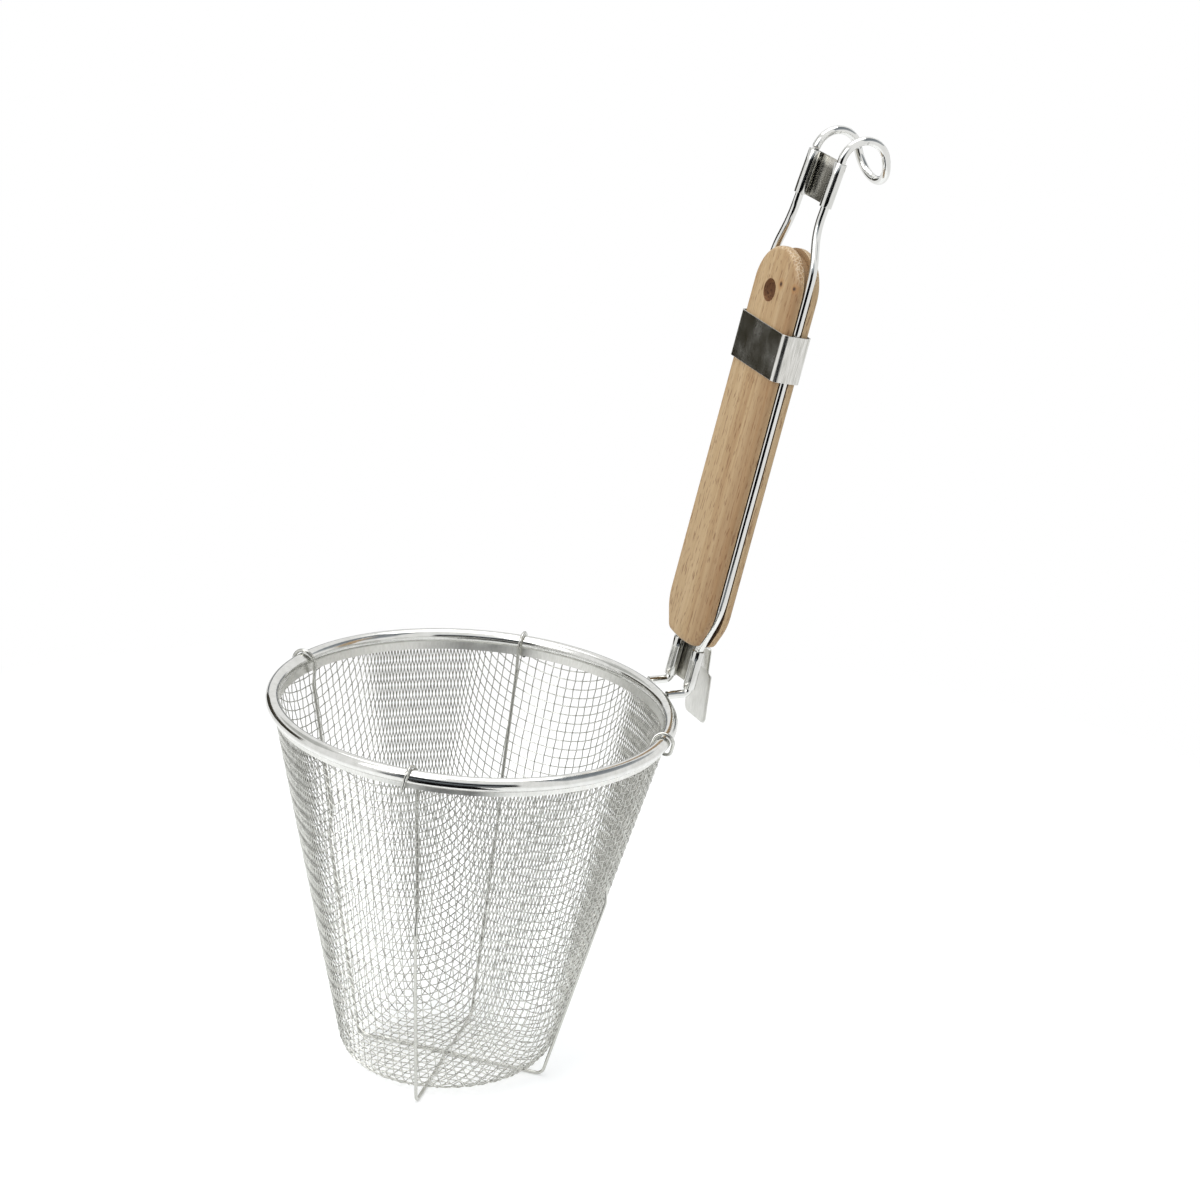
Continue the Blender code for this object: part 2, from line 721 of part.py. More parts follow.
def clip_section(spacing):
    """Outline across a clip: two curls joined behind by a bulging web."""
    half = spacing / 2
    path = []
    count = 12
    for k in range(count, 0, -1):
        bend = CLIP_CURL * k / count
        path.append((CLIP_RADIUS * math.cos(bend), half + CLIP_RADIUS * math.sin(bend)))
    for k in range(7):
        share = k / 6
        bulge = CLIP_WEB_BULGE * 4 * share * (1 - share)
        path.append((CLIP_RADIUS + bulge, half - spacing * share))
    for k in range(1, count + 1):
        bend = CLIP_CURL * k / count
        path.append((CLIP_RADIUS * math.cos(bend), -half - CLIP_RADIUS * math.sin(bend)))
    return offset_path(path, CLIP_SHEET / 2) + offset_path(path, -CLIP_SHEET / 2)[::-1]


def tab_rows():
    """Rows of the folded strip and tab: (back, up, half width)."""
    web = CLIP_RADIUS + CLIP_WEB_BULGE
    top = LOWER_CLIP_TOP + TAB_FOLD_RISE
    far = web + TAB_STAND_OFF
    low = top - TAB_SHOULDER_DROP
    narrow = TAB_STRIP_WIDTH / 2
    wide = TAB_WIDTH / 2
    bend = TAB_STAND_OFF / 2 * math.cos(TAB_SPLAY)
    path = rounded_path([
        ((web, 0, LOWER_CLIP_TOP - TAB_ROOT), 0),
        ((web, 0, top), bend),
        ((far, 0, top), bend),
        ((far + TAB_SHOULDER_DROP * math.tan(TAB_SPLAY), 0, low), 0),
    ], math.radians(25))
    rows = [(point.x, point.z, narrow) for point in path]
    start = path[-1]

    def splayed(down, half):
        back = start.x + down * math.sin(TAB_SPLAY)
        up = start.z - down * math.cos(TAB_SPLAY)
        rows.append((back, up, half))

    splayed(TAB_SHOULDER / 3, (narrow + wide) / 2)
    splayed(TAB_SHOULDER, wide)
    for k in range(5):
        bend = math.pi / 2 * k / 4
        cut = TAB_CORNER * (1 - math.cos(bend))
        splayed(TAB_LENGTH - TAB_CORNER * (1 - math.sin(bend)), wide - cut)
    return rows


def make_tab():
    """The rest tab with its fold, as a bent sheet of changing width."""
    work = bmesh.new()
    before = None
    for back, up, half in tab_rows():
        row = [work.verts.new((back, side * half, up)) for side in (-1, 1)]
        if before:
            work.faces.new((before[0], before[1], row[1], row[0]))
        before = row
    bmesh.ops.recalc_face_normals(work, faces=work.faces)
    mesh = bpy.data.meshes.new("rest_tab")
    work.to_mesh(mesh)
    work.free()
    tab = add_object("rest_tab", mesh, SATIN, helpers)
    sheet = tab.modifiers.new("sheet", "SOLIDIFY")
    sheet.thickness = CLIP_SHEET
    sheet.offset = 0
    sheet.use_even_offset = True
    hide(tab)
    return tab


def hide(thing):
    """Mark a cutter or guide that isn't part of the product."""
    thing.hide_render = True
    thing.display_type = "WIRE"


def boolean(thing, tool, operation):
    """Cut or join a tool with an object, by an exact Boolean."""
    cut = thing.modifiers.new(operation.lower() + " " + tool.name, "BOOLEAN")
    cut.operation = operation
    cut.object = tool
    cut.solver = "EXACT"


def make_lower_clip():
    """The lower clip with the rest tab folded back from its web."""
    clip = flat_outline("lower_clip", [clip_section(LOWER_SPACING)], LOWER_CLIP_LENGTH, SATIN)
    clip.parent = handle_frame
    clip.location = (0, 0, LOWER_CLIP_START + LOWER_CLIP_LENGTH / 2)
    tab = make_tab()
    tab.parent = handle_frame
    boolean(clip, tab, "UNION")
    return smooth(clip)


def make_upper_clip():
    """The upper clip, on the part of the wires that leans back."""
    clip = flat_outline("upper_clip", [clip_section(UPPER_SPACING)], UPPER_CLIP_LENGTH, SATIN)
    back, up = leaned(UPPER_CLIP_START + UPPER_CLIP_LENGTH / 2)
    clip.parent = handle_frame
    clip.location = (back, 0, up)
    clip.rotation_euler = (0, HOOK_LEAN, 0)
    return smooth(clip)


def grip_outline():
    """Outline of the grip's broad face, in (side, up)."""
    half = GRIP_WIDTH / 2
    end = GRIP_END_WIDTH / 2
    low = GRIP_START + GRIP_END_ARC
    side = rounded_path([
        ((end / 2, 0, GRIP_START + GRIP_END_ARC / 4), 0),
        ((end, 0, low), GRIP_END_CORNER),
        ((half, 0, GRIP_START + GRIP_TAPER), half),
        ((half, 0, GRIP_TOP - half), 0),
    ])
    points = [(0, GRIP_START)] + [(point.x, point.z) for point in side]
    for k in range(1, 12):
        bend = math.pi * k / 12
        points.append((half * math.cos(bend), GRIP_TOP - half + half * math.sin(bend)))
    return points + [(-point.x, point.z) for point in side[::-1]]


def groove_floor():
    """Outline of what the groove leaves in the grip's middle: it follows the wires."""
    half = GRIP_WIDTH / 2 - GROOVE_DEPTH
    centre = GRIP_TOP - GRIP_WIDTH / 2
    spread = Vector((GRIP_WIRE_Y, 0, GRIP_START + SPREAD_END))
    clip = Vector((LOWER_SPACING / 2, 0, LOWER_CLIP_TOP + SPREAD_START))
    below = clip + (clip - spread).normalized() * GROOVE_DEPTH
    wire_path = rounded_path([(below, 0), (spread, SIDE_BEND), ((GRIP_WIRE_Y, 0, centre), 0)])
    side = offset_path([(point.x, point.z) for point in wire_path], HANDLE_RADIUS + CLIP_GAP)
    points = list(side)
    for k in range(1, 12):
        bend = math.pi * k / 12
        points.append((half * math.cos(bend), centre + half * math.sin(bend)))
    return points + [(-x, y) for x, y in side[::-1]]


def make_grip():
    """The beech grip: one board, grooved along its sides and over its top, with a hanging hole."""
    grip = flat_outline("grip", [grip_outline()], GRIP_THICKNESS, BEECH)
    stand = Matrix(((0, 0, 1, 0), (1, 0, 0, 0), (0, 1, 0, 0), (0, 0, 0, 1)))
    grip.data.transform(stand)
    grip.parent = handle_frame
    edge = grip.modifiers.new("eased edges", "BEVEL")
    edge.width = GRIP_EDGE_RADIUS
    edge.segments = 2
    edge.limit_method = "ANGLE"
    edge.angle_limit = math.radians(60)
    wide = GRIP_WIDTH / 2 + GROOVE_DEPTH
    low = LOWER_CLIP_TOP - GRIP_WIDTH / 2
    high = GRIP_TOP + GROOVE_DEPTH
    around = [(wide, low), (wide, high), (-wide, high), (-wide, low)]
    groove = flat_outline("groove_cutter", [around, groove_floor()], GROOVE_WIDTH, None, helpers)
    groove.data.transform(stand)
    groove.parent = handle_frame
    hide(groove)
    boolean(grip, groove, "DIFFERENCE")
    bpy.ops.mesh.primitive_cylinder_add(
        vertices=24,
        radius=HOLE_DIAMETER / 2,
        depth=2 * GRIP_THICKNESS,
        location=(0, HOLE_OFFSET, GRIP_TOP - HOLE_FROM_TOP),
        rotation=(0, math.pi / 2, 0),
    )
    drill = bpy.context.object
    drill.name = "hole_cutter"
    for holder in drill.users_collection:
        holder.objects.unlink(drill)
    helpers.objects.link(drill)
    drill.parent = handle_frame
    hide(drill)
    boolean(grip, drill, "DIFFERENCE")
    return smooth(grip)


def rounded_rectangle(half_x, half_y, radius):
    """Outline of a rectangle with round corners."""
    points = []
    for quarter, (sx, sy) in enumerate(((1, 1), (-1, 1), (-1, -1), (1, -1))):
        for k in range(5):
            bend = math.pi / 2 * (quarter + k / 4)
            points.append((
                sx * (half_x - radius) + radius * math.cos(bend),
                sy * (half_y - radius) + radius * math.sin(bend),
            ))
    return points


def make_grip_band():
    """The bent loop that slides along the grip and clamps the wires into their grooves."""
    inner_x = GRIP_THICKNESS / 2 + BAND_GAP
    inner_y = GRIP_WIRE_Y + HANDLE_RADIUS + BAND_GAP
    inner = rounded_rectangle(inner_x, inner_y, BAND_CORNER - BAND_SHEET)
    outer = rounded_rectangle(inner_x + BAND_SHEET, inner_y + BAND_SHEET, BAND_CORNER)
    band = flat_outline("grip_band", [outer, inner], BAND_HEIGHT, POLISHED)
    band.parent = handle_frame
    band.location = (0, 0, GRIP_START + BAND_START + BAND_HEIGHT / 2)
    return smooth(band)


make_rim_band()
make_rim_core()
make_mesh_basket()
make_supports()
make_handle_wire()
make_lower_clip()
make_upper_clip()
make_grip()
make_grip_band()
bpy.context.view_layer.update()
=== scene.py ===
# %% [markdown]
# # A long-handled mesh strainer, piece by piece
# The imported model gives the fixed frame: sizes, places and the one sliding joint. This lesson
# dresses that frame. Each steel and wooden piece is made again at full smoothness where its
# solid stands, and gets a finish built from nodes. All lengths are metres, Z is up, the cup
# lies on the left and the handle leans away to the right.

# %% Load the frame
import math

import bmesh
import bpy
from mathutils import Matrix, Vector, noise


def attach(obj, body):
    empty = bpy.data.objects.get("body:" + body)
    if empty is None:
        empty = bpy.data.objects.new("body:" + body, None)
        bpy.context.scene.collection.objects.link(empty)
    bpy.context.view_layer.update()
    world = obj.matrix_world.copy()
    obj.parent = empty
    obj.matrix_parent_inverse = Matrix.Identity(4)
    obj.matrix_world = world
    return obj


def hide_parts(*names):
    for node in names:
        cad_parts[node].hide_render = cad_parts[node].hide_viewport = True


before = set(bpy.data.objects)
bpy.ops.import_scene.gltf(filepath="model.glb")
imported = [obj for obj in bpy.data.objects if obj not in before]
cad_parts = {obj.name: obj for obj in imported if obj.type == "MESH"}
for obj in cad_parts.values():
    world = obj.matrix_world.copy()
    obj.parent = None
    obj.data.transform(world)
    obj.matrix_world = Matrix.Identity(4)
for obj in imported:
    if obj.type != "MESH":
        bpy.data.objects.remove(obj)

MM = 0.001
DEGREE = math.radians(1)
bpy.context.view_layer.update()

# %% [markdown]
# ## The camera comes first
# The photograph was taken from the left of the cup, a little above the rim, with a long lens.
# Its place and its three axes come from fitting the outline of the strainer. A camera looks
# down its own -Z, so the third column is the way from the object back to the lens.

# %% Camera
CAMERA_PLACE = Vector((-0.66573, -1.25355, 0.55126))
CAMERA_RIGHT = Vector((0.90261146, -0.42260767, 0.08182493))
CAMERA_UP = Vector((0.07697186, 0.34548243, 0.93526319))
FOCAL_PIXELS = 4393.3
PHOTO_PIXELS = 1200

lens = bpy.data.cameras.new("camera")
lens.sensor_width = 36
lens.lens = FOCAL_PIXELS * lens.sensor_width / PHOTO_PIXELS
camera = bpy.data.objects.new("camera", lens)
camera_back = CAMERA_RIGHT.cross(CAMERA_UP).normalized()
camera.matrix_world = Matrix.Translation(CAMERA_PLACE) @ Matrix(
    (CAMERA_RIGHT, CAMERA_UP, camera_back)).transposed().to_4x4()
bpy.context.scene.collection.objects.link(camera)
bpy.context.scene.camera = camera
print("lens", round(lens.lens, 1), "mm")

# %% [markdown]
# ## Small tools
# Colours are written as people read them on a screen, in sRGB hex, and turned to linear light
# by one function. One more function adds a shader node with its settings and links. An input
# that gets another node's output is linked, and any other value is set on the socket itself.

# %% Colour and node helpers


def srgb(code):
    """Linear RGBA of an sRGB hex colour."""
    channels = [int(code[k:k + 2], 16) / 255 for k in (1, 3, 5)]
    linear = [c / 12.92 if c <= 0.04045 else ((c + 0.055) / 1.055) ** 2.4 for c in channels]
    return (*linear, 1.0)


def add_node(tree, kind, inputs=None, stops=(), **settings):
    """Add one node, set its properties, fill or link its inputs, and place its colour stops."""
    made = tree.nodes.new(kind)
    for name, value in settings.items():
        setattr(made, name, value)
    for name, value in (inputs or {}).items():
        if isinstance(value, bpy.types.NodeSocket):
            tree.links.new(value, made.inputs[name])
        else:
            made.inputs[name].default_value = value
    while stops and len(made.color_ramp.elements) < len(stops):
        made.color_ramp.elements.new(0.5)
    for k, (position, code) in enumerate(stops):
        made.color_ramp.elements[k].position = position
        made.color_ramp.elements[k].color = srgb(code)
    return made


def new_material(name):
    """An empty node material with its output node."""
    made = bpy.data.materials.new(name)
    made.use_nodes = True
    made.node_tree.nodes.clear()
    return made, made.node_tree, add_node(made.node_tree, "ShaderNodeOutputMaterial")


print("mid grey #808080 is", round(srgb("#808080")[0], 3), "in linear light")

# %% [markdown]
# ## Finishes: stainless steel
# Every metal piece is stainless steel, and what changes is how its surface was made. Metal has
# no colour of its own under the reflections, so the base colour is only a slightly warm grey,
# and the roughness tells polished wire from rolled strip. Rolling and rubbing leave fine marks,
# so each finish mixes two noises: one wide, for smears that change the gloss, and one drawn
# out along the piece, for the marks themselves.

# %% Steel finishes
SMEAR_LENGTH = 9 * MM


def steel(name, dark, light, gloss, marks, mark_depth):
    """Stainless steel: two greys, (low, high) roughness, mark size per axis and depth in mm."""
    made, tree, out = new_material(name)
    place = add_node(tree, "ShaderNodeTexCoord").outputs["Object"]
    drawn = add_node(tree, "ShaderNodeMapping", {
        "Vector": place, "Scale": tuple(1 / (size * MM) for size in marks)})
    fine = add_node(tree, "ShaderNodeTexNoise", {
        "Vector": drawn.outputs[0], "Scale": 1.0, "Detail": 3.0})
    wide = add_node(tree, "ShaderNodeTexNoise", {
        "Vector": place, "Scale": 1 / SMEAR_LENGTH, "Detail": 2.0})
    rough = add_node(tree, "ShaderNodeMapRange", {
        "Value": wide.outputs["Fac"], "From Min": 0.35, "From Max": 0.65,
        "To Min": gloss[0], "To Max": gloss[1]})
    tone = add_node(tree, "ShaderNodeValToRGB", {"Fac": fine.outputs["Fac"]}, stops=(
        (0.3, dark), (0.7, light)))
    bump = add_node(tree, "ShaderNodeBump", {
        "Height": fine.outputs["Fac"], "Strength": 1.0, "Distance": mark_depth * MM})
    shader = add_node(tree, "ShaderNodeBsdfPrincipled", {
        "Base Color": tone.outputs["Color"],
        "Metallic": 1.0,
        "Roughness": rough.outputs["Result"],
        "Normal": bump.outputs["Normal"]})
    tree.links.new(shader.outputs[0], out.inputs["Surface"])
    return made


# Drawn wire polished after bending: a mirror with hardly a mark in it
POLISHED_WIRE = steel(
    "polished stainless wire", "#dadad7", "#e2e2df", (0.05, 0.08), (3, 3, 9), 0.0003)
# The rim's bead is rolled from bright strip, a little softer than the wire
BRIGHT_STRIP = steel(
    "bright rolled stainless strip", "#d3d3cf", "#e0e0dd", (0.1, 0.17), (3, 3, 3), 0.001)
# The band is bent from strip that was brushed along the grip and then handled
BRUSHED_STRIP = steel(
    "brushed stainless strip", "#bfbeb8", "#e6e5e1", (0.16, 0.28), (0.5, 0.5, 7), 0.004)
# The strip's flat skirt and the tab keep the mill's satin surface, pale and even
SATIN_STRIP = steel(
    "satin stainless strip", "#dbdbd6", "#eaeae6", (0.32, 0.44), (0.5, 0.5, 4), 0.005)
# Clips are pressed from bright strip, so that their curls shine like tubes
PRESSED_STRIP = steel(
    "pressed stainless strip", "#cfcfcb", "#dededb", (0.08, 0.15), (0.6, 0.6, 6), 0.001)
# The web between the curls gets rubbed by the press tool, which leaves fine scratches
RUBBED_STRIP = steel(
    "rubbed stainless strip", "#a9a69c", "#d0cec7", (0.2, 0.27), (0.6, 1.0, 6), 0.0006)
# Support wire is drawn and left as it comes from the die, dull and pale
DRAWN_WIRE = steel(
    "drawn stainless wire", "#bcbcb6", "#cdcdc8", (0.15, 0.24), (0.6, 0.6, 0.6), 0.002)
# The net's thin wire has the same skin. Its die marks are too fine to show at this size
NET_WIRE = steel(
    "woven stainless wire", "#b4b4ae", "#d9d9d4", (0.16, 0.28), (2.5, 2.5, 2.5), 0.002)
print("steel finishes", sum("stainless" in m.name for m in bpy.data.materials))

# %% [markdown]
# ## Finish: beech
# The grip is steamed beech, planed, rounded over and lightly oiled. Beech shows pale tan with
# soft stripes along the board and many short dark flecks, 2 to 4 mm long and about half a
# millimetre wide, where its rays are cut. Both come from noise squeezed across the grain and
# drawn out along it. The object's own coordinates run along the board, so the grain follows
# the grip: X goes through its thickness, Y across its face and Z up. The board is darker near
# one edge, its round top shows cracked end grain, and two pin knots sit beside the hole.

# %% Beech
FLECK_WIDTH = 0.55 * MM
FLECK_LENGTH = 3.4 * MM
STRIPE_WIDTH = 1.3 * MM
STRIPE_LENGTH = 60 * MM
GRAIN_DEPTH = 0.12 * MM
END_GRAIN_CELL = 1.5 * MM
DARK_EDGE = (-3.5 * MM, -9.5 * MM)
FRONT_FACE = (-1.5 * MM, -2.5 * MM)
# Heights up the grip where the groove's painted shade gives way to paler wood over the dome
GROOVE_TOP = (142 * MM, 151 * MM)
BEECH_TONES = ("#a5835b", "#b99c74", "#c5aa84")
KNOTS = (((-4.9, -4.1, 147.3), 1.15), ((-4.6, -12.9, 148.2), 1.0))


def wood(name, tones, fleck, fleck_share):
    """Oiled wood in (dark, middle, light) tones with flecks of one darker tone."""
    made, tree, out = new_material(name)
    place = add_node(tree, "ShaderNodeTexCoord").outputs["Object"]
    across = add_node(tree, "ShaderNodeMapping", {
        "Vector": place, "Scale": (1 / STRIPE_WIDTH, 1 / STRIPE_WIDTH, 1 / STRIPE_LENGTH)})
    stripes = add_node(tree, "ShaderNodeTexNoise", {
        "Vector": across.outputs[0], "Scale": 1.0, "Detail": 5.0, "Roughness": 0.6})
    broad = add_node(tree, "ShaderNodeTexNoise", {
        "Vector": across.outputs[0], "Scale": 0.16, "Detail": 2.0})
    spot = add_node(tree, "ShaderNodeMapping", {
        "Vector": place, "Scale": (1 / FLECK_WIDTH, 1 / FLECK_WIDTH, 1 / FLECK_LENGTH)})
    flecks = add_node(tree, "ShaderNodeTexNoise", {
        "Vector": spot.outputs[0], "Scale": 0.8, "Detail": 1.0})
    both = add_node(tree, "ShaderNodeMix", {
        "Factor": 0.5, "A": stripes.outputs["Fac"], "B": broad.outputs["Fac"]}, data_type="FLOAT")
    ground = add_node(tree, "ShaderNodeValToRGB", {"Fac": both.outputs[0]}, stops=(
        (0.36, tones[0]), (0.5, tones[1]), (0.64, tones[2])))
    mask = add_node(tree, "ShaderNodeMapRange", {
        "Value": flecks.outputs["Fac"], "From Min": fleck_share, "From Max": fleck_share + 0.07,
        "To Max": 0.7})
    colour = add_node(tree, "ShaderNodeMix", {
        "Factor": mask.outputs["Result"], "A": ground.outputs["Color"],
        "B": srgb(fleck)}, data_type="RGBA")
    bump = add_node(tree, "ShaderNodeBump", {
        "Height": stripes.outputs["Fac"], "Strength": 0.5, "Distance": GRAIN_DEPTH})
    shader = add_node(tree, "ShaderNodeBsdfPrincipled", {
        "Base Color": colour.outputs[2], "Roughness": 0.55, "Normal": bump.outputs["Normal"]})
    tree.links.new(shader.outputs[0], out.inputs["Surface"])
    return made


def stain(made, share, tone):
    """Lay one more tone over the colour that a wood already has, by a share from 0 to 1: the
    wood's own tones, and in the groove a step of painted shade.
    """
    tree = made.node_tree
    base = next(n for n in tree.nodes if n.type == "BSDF_PRINCIPLED").inputs["Base Color"]
    over = add_node(tree, "ShaderNodeMix", {
        "Factor": share, "A": base.links[0].from_socket, "B": srgb(tone)}, data_type="RGBA")
    tree.links.new(over.outputs[2], base)


def board_beech():
    """The board's own beech: a darker edge, cracked end grain on its dome and two knots."""
    made = wood("oiled beech", BEECH_TONES, "#7a5331", 0.6)
    tree = made.node_tree
    coordinates = add_node(tree, "ShaderNodeTexCoord")
    place = coordinates.outputs["Object"]
    split = add_node(tree, "ShaderNodeSeparateXYZ", {"Vector": place})
    facing = add_node(tree, "ShaderNodeSeparateXYZ", {"Vector": coordinates.outputs["Normal"]})
    edge = add_node(tree, "ShaderNodeMapRange", {
        "Value": split.outputs["Y"], "From Min": DARK_EDGE[0], "From Max": DARK_EDGE[1],
        "To Max": 0.38})
    front = add_node(tree, "ShaderNodeMapRange", {
        "Value": split.outputs["X"], "From Min": FRONT_FACE[0], "From Max": FRONT_FACE[1]})
    darker = add_node(tree, "ShaderNodeMath", {
        0: edge.outputs["Result"], 1: front.outputs["Result"]}, operation="MULTIPLY")
    stain(made, darker.outputs[0], "#86603a")
    grain_end = add_node(tree, "ShaderNodeMapRange", {
        "Value": facing.outputs["Z"], "From Min": 0.25, "From Max": 0.6, "To Max": 0.55})
    crack = add_node(tree, "ShaderNodeTexVoronoi", {
        "Vector": place, "Scale": 1 / END_GRAIN_CELL}, feature="DISTANCE_TO_EDGE")
    thin = add_node(tree, "ShaderNodeMapRange", {
        "Value": crack.outputs["Distance"], "From Min": 0.02, "From Max": 0.12,
        "To Min": 1.0, "To Max": 0.0})
    pale = add_node(tree, "ShaderNodeMath", {
        0: grain_end.outputs["Result"], 1: thin.outputs["Result"]}, operation="MULTIPLY")
    stain(made, pale.outputs[0], "#e0cfb4")
    for centre, radius in KNOTS:
        gap = add_node(tree, "ShaderNodeVectorMath", {
            0: place, 1: tuple(c * MM for c in centre)}, operation="DISTANCE")
        for reach, share, tone in ((2.2, 0.55, "#a5743f"), (1.0, 0.95, "#3a1d0d")):
            knot = add_node(tree, "ShaderNodeMapRange", {
                "Value": gap.outputs["Value"], "From Min": 0.4 * reach * radius * MM,
                "From Max": reach * radius * MM, "To Min": share, "To Max": 0.0})
            stain(made, knot.outputs["Result"], tone)
    return made


def shaded_groove_beech():
    """Beech in the groove, darkened as painted shade for the recess, with less painted shade over
    the dome.
    """
    # The dark tones are painted shade in the groove, not the wood's own colour
    made = wood("groove beech with painted shade", ("#463220", "#5a432d", "#71563b"), "#2d1e12", 0.58)
    tree = made.node_tree
    place = add_node(tree, "ShaderNodeTexCoord").outputs["Object"]
    split = add_node(tree, "ShaderNodeSeparateXYZ", {"Vector": place})
    pale = add_node(tree, "ShaderNodeMapRange", {
        "Value": split.outputs["Z"], "From Min": GROOVE_TOP[0], "From Max": GROOVE_TOP[1],
        "To Max": 0.75})
    # Over the dome the painted shade gives way to a paler tone
    stain(made, pale.outputs["Result"], "#b5946d")
    return made


BEECH = board_beech()
# The groove's beech, with painted shade
GROOVE_BEECH_PAINTED_SHADE = shaded_groove_beech()
# The hole's wall is darker beech: painted shade inside the hole, over the wood's own mottled grain
HOLE_BEECH_PAINTED_SHADE = wood("hole wall beech with painted shade", ("#704d36", "#8e6546", "#ab805a"), "#4f3120", 0.58)
print("beech fleck", FLECK_WIDTH / MM, "x", FLECK_LENGTH / MM, "mm")

# %% [markdown]
# ## The frame's own lines
# Pieces are placed on two lines: round the cup's axis, and along the handle. Both repeat the
# solids' sizes. The cup's wall is one line in section, so a place near it is given by the way
# down the wall and the way out of it.

# %% Sizes shared by the pieces
RIM_RADIUS = 70 * MM
BEAD_RADIUS = 2.4 * MM
BEAD_RING_RADIUS = RIM_RADIUS - BEAD_RADIUS
RIM_Z = 1.0 * MM
CUP_X = -77 * MM
CUP_DEPTH = 129.2 * MM
BASE_RADIUS = 35.2 * MM
CORNER_RADIUS = 11 * MM
BASE_TILT = math.radians(3.5)
LOW_SIDE = math.radians(153)
TILT_START = 12 * MM
CUP_BOTTOM_Z = RIM_Z - CUP_DEPTH
WALL_LEAN = math.atan((BEAD_RING_RADIUS - BASE_RADIUS) / CUP_DEPTH)
CORNER_TURN = math.pi / 2 - WALL_LEAN
BASE_FLAT = BASE_RADIUS - CORNER_RADIUS * math.tan(CORNER_TURN / 2)
CORNER_ARC = CORNER_RADIUS * CORNER_TURN
CORNER_HEIGHT = CORNER_RADIUS * (1 - math.cos(CORNER_TURN))
WALL_FOOT_RADIUS = BASE_FLAT + CORNER_RADIUS * math.sin(CORNER_TURN)
MERIDIAN = BASE_FLAT + CORNER_ARC + (CUP_DEPTH - CORNER_HEIGHT) / math.cos(WALL_LEAN)
FOOT_Z = CUP_BOTTOM_Z - 3.4 * MM
print("way up the cup", round(MERIDIAN / MM, 1), "mm, feet at", round(FOOT_Z / MM, 1), "mm")


def round_the_cup(radius, angle, height):
    """A place by its distance from the cup's axis, its angle and its height."""
    return Vector((CUP_X + radius * math.cos(angle), radius * math.sin(angle), height))


def tilted(place):
    """A place on the level cup, moved with the wall and base that sit a little askew."""
    share = min(1.0, max(0.0, (RIM_Z - TILT_START - place.z) / (CUP_DEPTH - TILT_START)))
    reach = (place.x - CUP_X) * math.cos(LOW_SIDE) + place.y * math.sin(LOW_SIDE)
    return place - Vector((0, 0, math.tan(BASE_TILT) * share * reach))


def level_point(along, angle, out=0.0):
    """A place on the level cup, by the way up from the base centre and the way out of the wall."""
    if along <= BASE_FLAT:
        radius, height, lean = along, 0.0, -math.pi / 2
    elif along <= BASE_FLAT + CORNER_ARC:
        bend = (along - BASE_FLAT) / CORNER_RADIUS
        radius = BASE_FLAT + CORNER_RADIUS * math.sin(bend)
        height = CORNER_RADIUS * (1 - math.cos(bend))
        lean = bend - math.pi / 2
    else:
        rest = along - BASE_FLAT - CORNER_ARC
        radius = WALL_FOOT_RADIUS + rest * math.sin(WALL_LEAN)
        height = CORNER_HEIGHT + rest * math.cos(WALL_LEAN)
        lean = -WALL_LEAN
    radius += out * math.cos(lean)
    height += out * math.sin(lean)
    return round_the_cup(radius, angle, CUP_BOTTOM_Z + height)


def cup_point(along, angle, out=0.0):
    """As level_point, on the cup as it really stands."""
    return tilted(level_point(along, angle, out))


def wall_point(down, out, angle):
    """A place on the wall's straight line: the way down from the bead's centre, and out."""
    radius = BEAD_RING_RADIUS - down * math.sin(WALL_LEAN) + out * math.cos(WALL_LEAN)
    height = RIM_Z - down * math.cos(WALL_LEAN) - out * math.sin(WALL_LEAN)
    return tilted(round_the_cup(radius, angle, height))


# %% [markdown]
# The handle has a frame of its own, which starts behind the rim and leans back. Its X points
# to the back, its Y to the side and its Z up the grip, so a piece is drawn upright and placed
# by one matrix.

# %% Places along the handle
HANDLE_LEAN = math.radians(10.7)
HANDLE_REACH = 7.9 * MM
GRIP_TOP = 159.3 * MM
HANDLE_ROOT = Matrix.Translation((CUP_X + RIM_RADIUS + HANDLE_REACH, 0, RIM_Z))
HANDLE_MATRIX = HANDLE_ROOT @ Matrix.Rotation(HANDLE_LEAN, 4, "Y")


def on_handle(back, side, up):
    """World place of a point given behind, beside and along the handle."""
    return HANDLE_MATRIX @ Vector((back, side, up))


print("top of the grip", [round(c / MM, 1) for c in on_handle(0, 0, GRIP_TOP)])

# %% [markdown]
# ## Helpers that make geometry
# Bent wire is a curve with a round bevel along a line of points. Its bends are worked out as
# arcs between straight runs, because that is how a bending jig leaves them.

# %% Wire and mesh helpers


def rounded_path(corners, step=6 * DEGREE):
    """Points along a wire bent at each corner: corners are (place, bend radius)."""
    points = [Vector(corners[0][0])]
    for before, here, after in zip(corners, corners[1:], corners[2:]):
        corner = Vector(here[0])
        back = (Vector(before[0]) - corner).normalized()
        ahead = (Vector(after[0]) - corner).normalized()
        turn = math.pi - back.angle(ahead)
        if turn < 0.001 or here[1] == 0:
            points.append(corner)
            continue
        centre = corner + (back + ahead).normalized() * (here[1] / math.cos(turn / 2))
        start = corner + back * here[1] * math.tan(turn / 2) - centre
        axis = back.cross(ahead).normalized()
        count = max(2, math.ceil(turn / step))
        for k in range(count + 1):
            points.append(centre + Matrix.Rotation(-turn * k / count, 3, axis) @ start)
    points.append(Vector(corners[-1][0]))
    return points


def dress(piece, body, node):
    """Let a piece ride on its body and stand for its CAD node."""
    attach(piece, body)
    if node:
        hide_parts(node)
    return piece


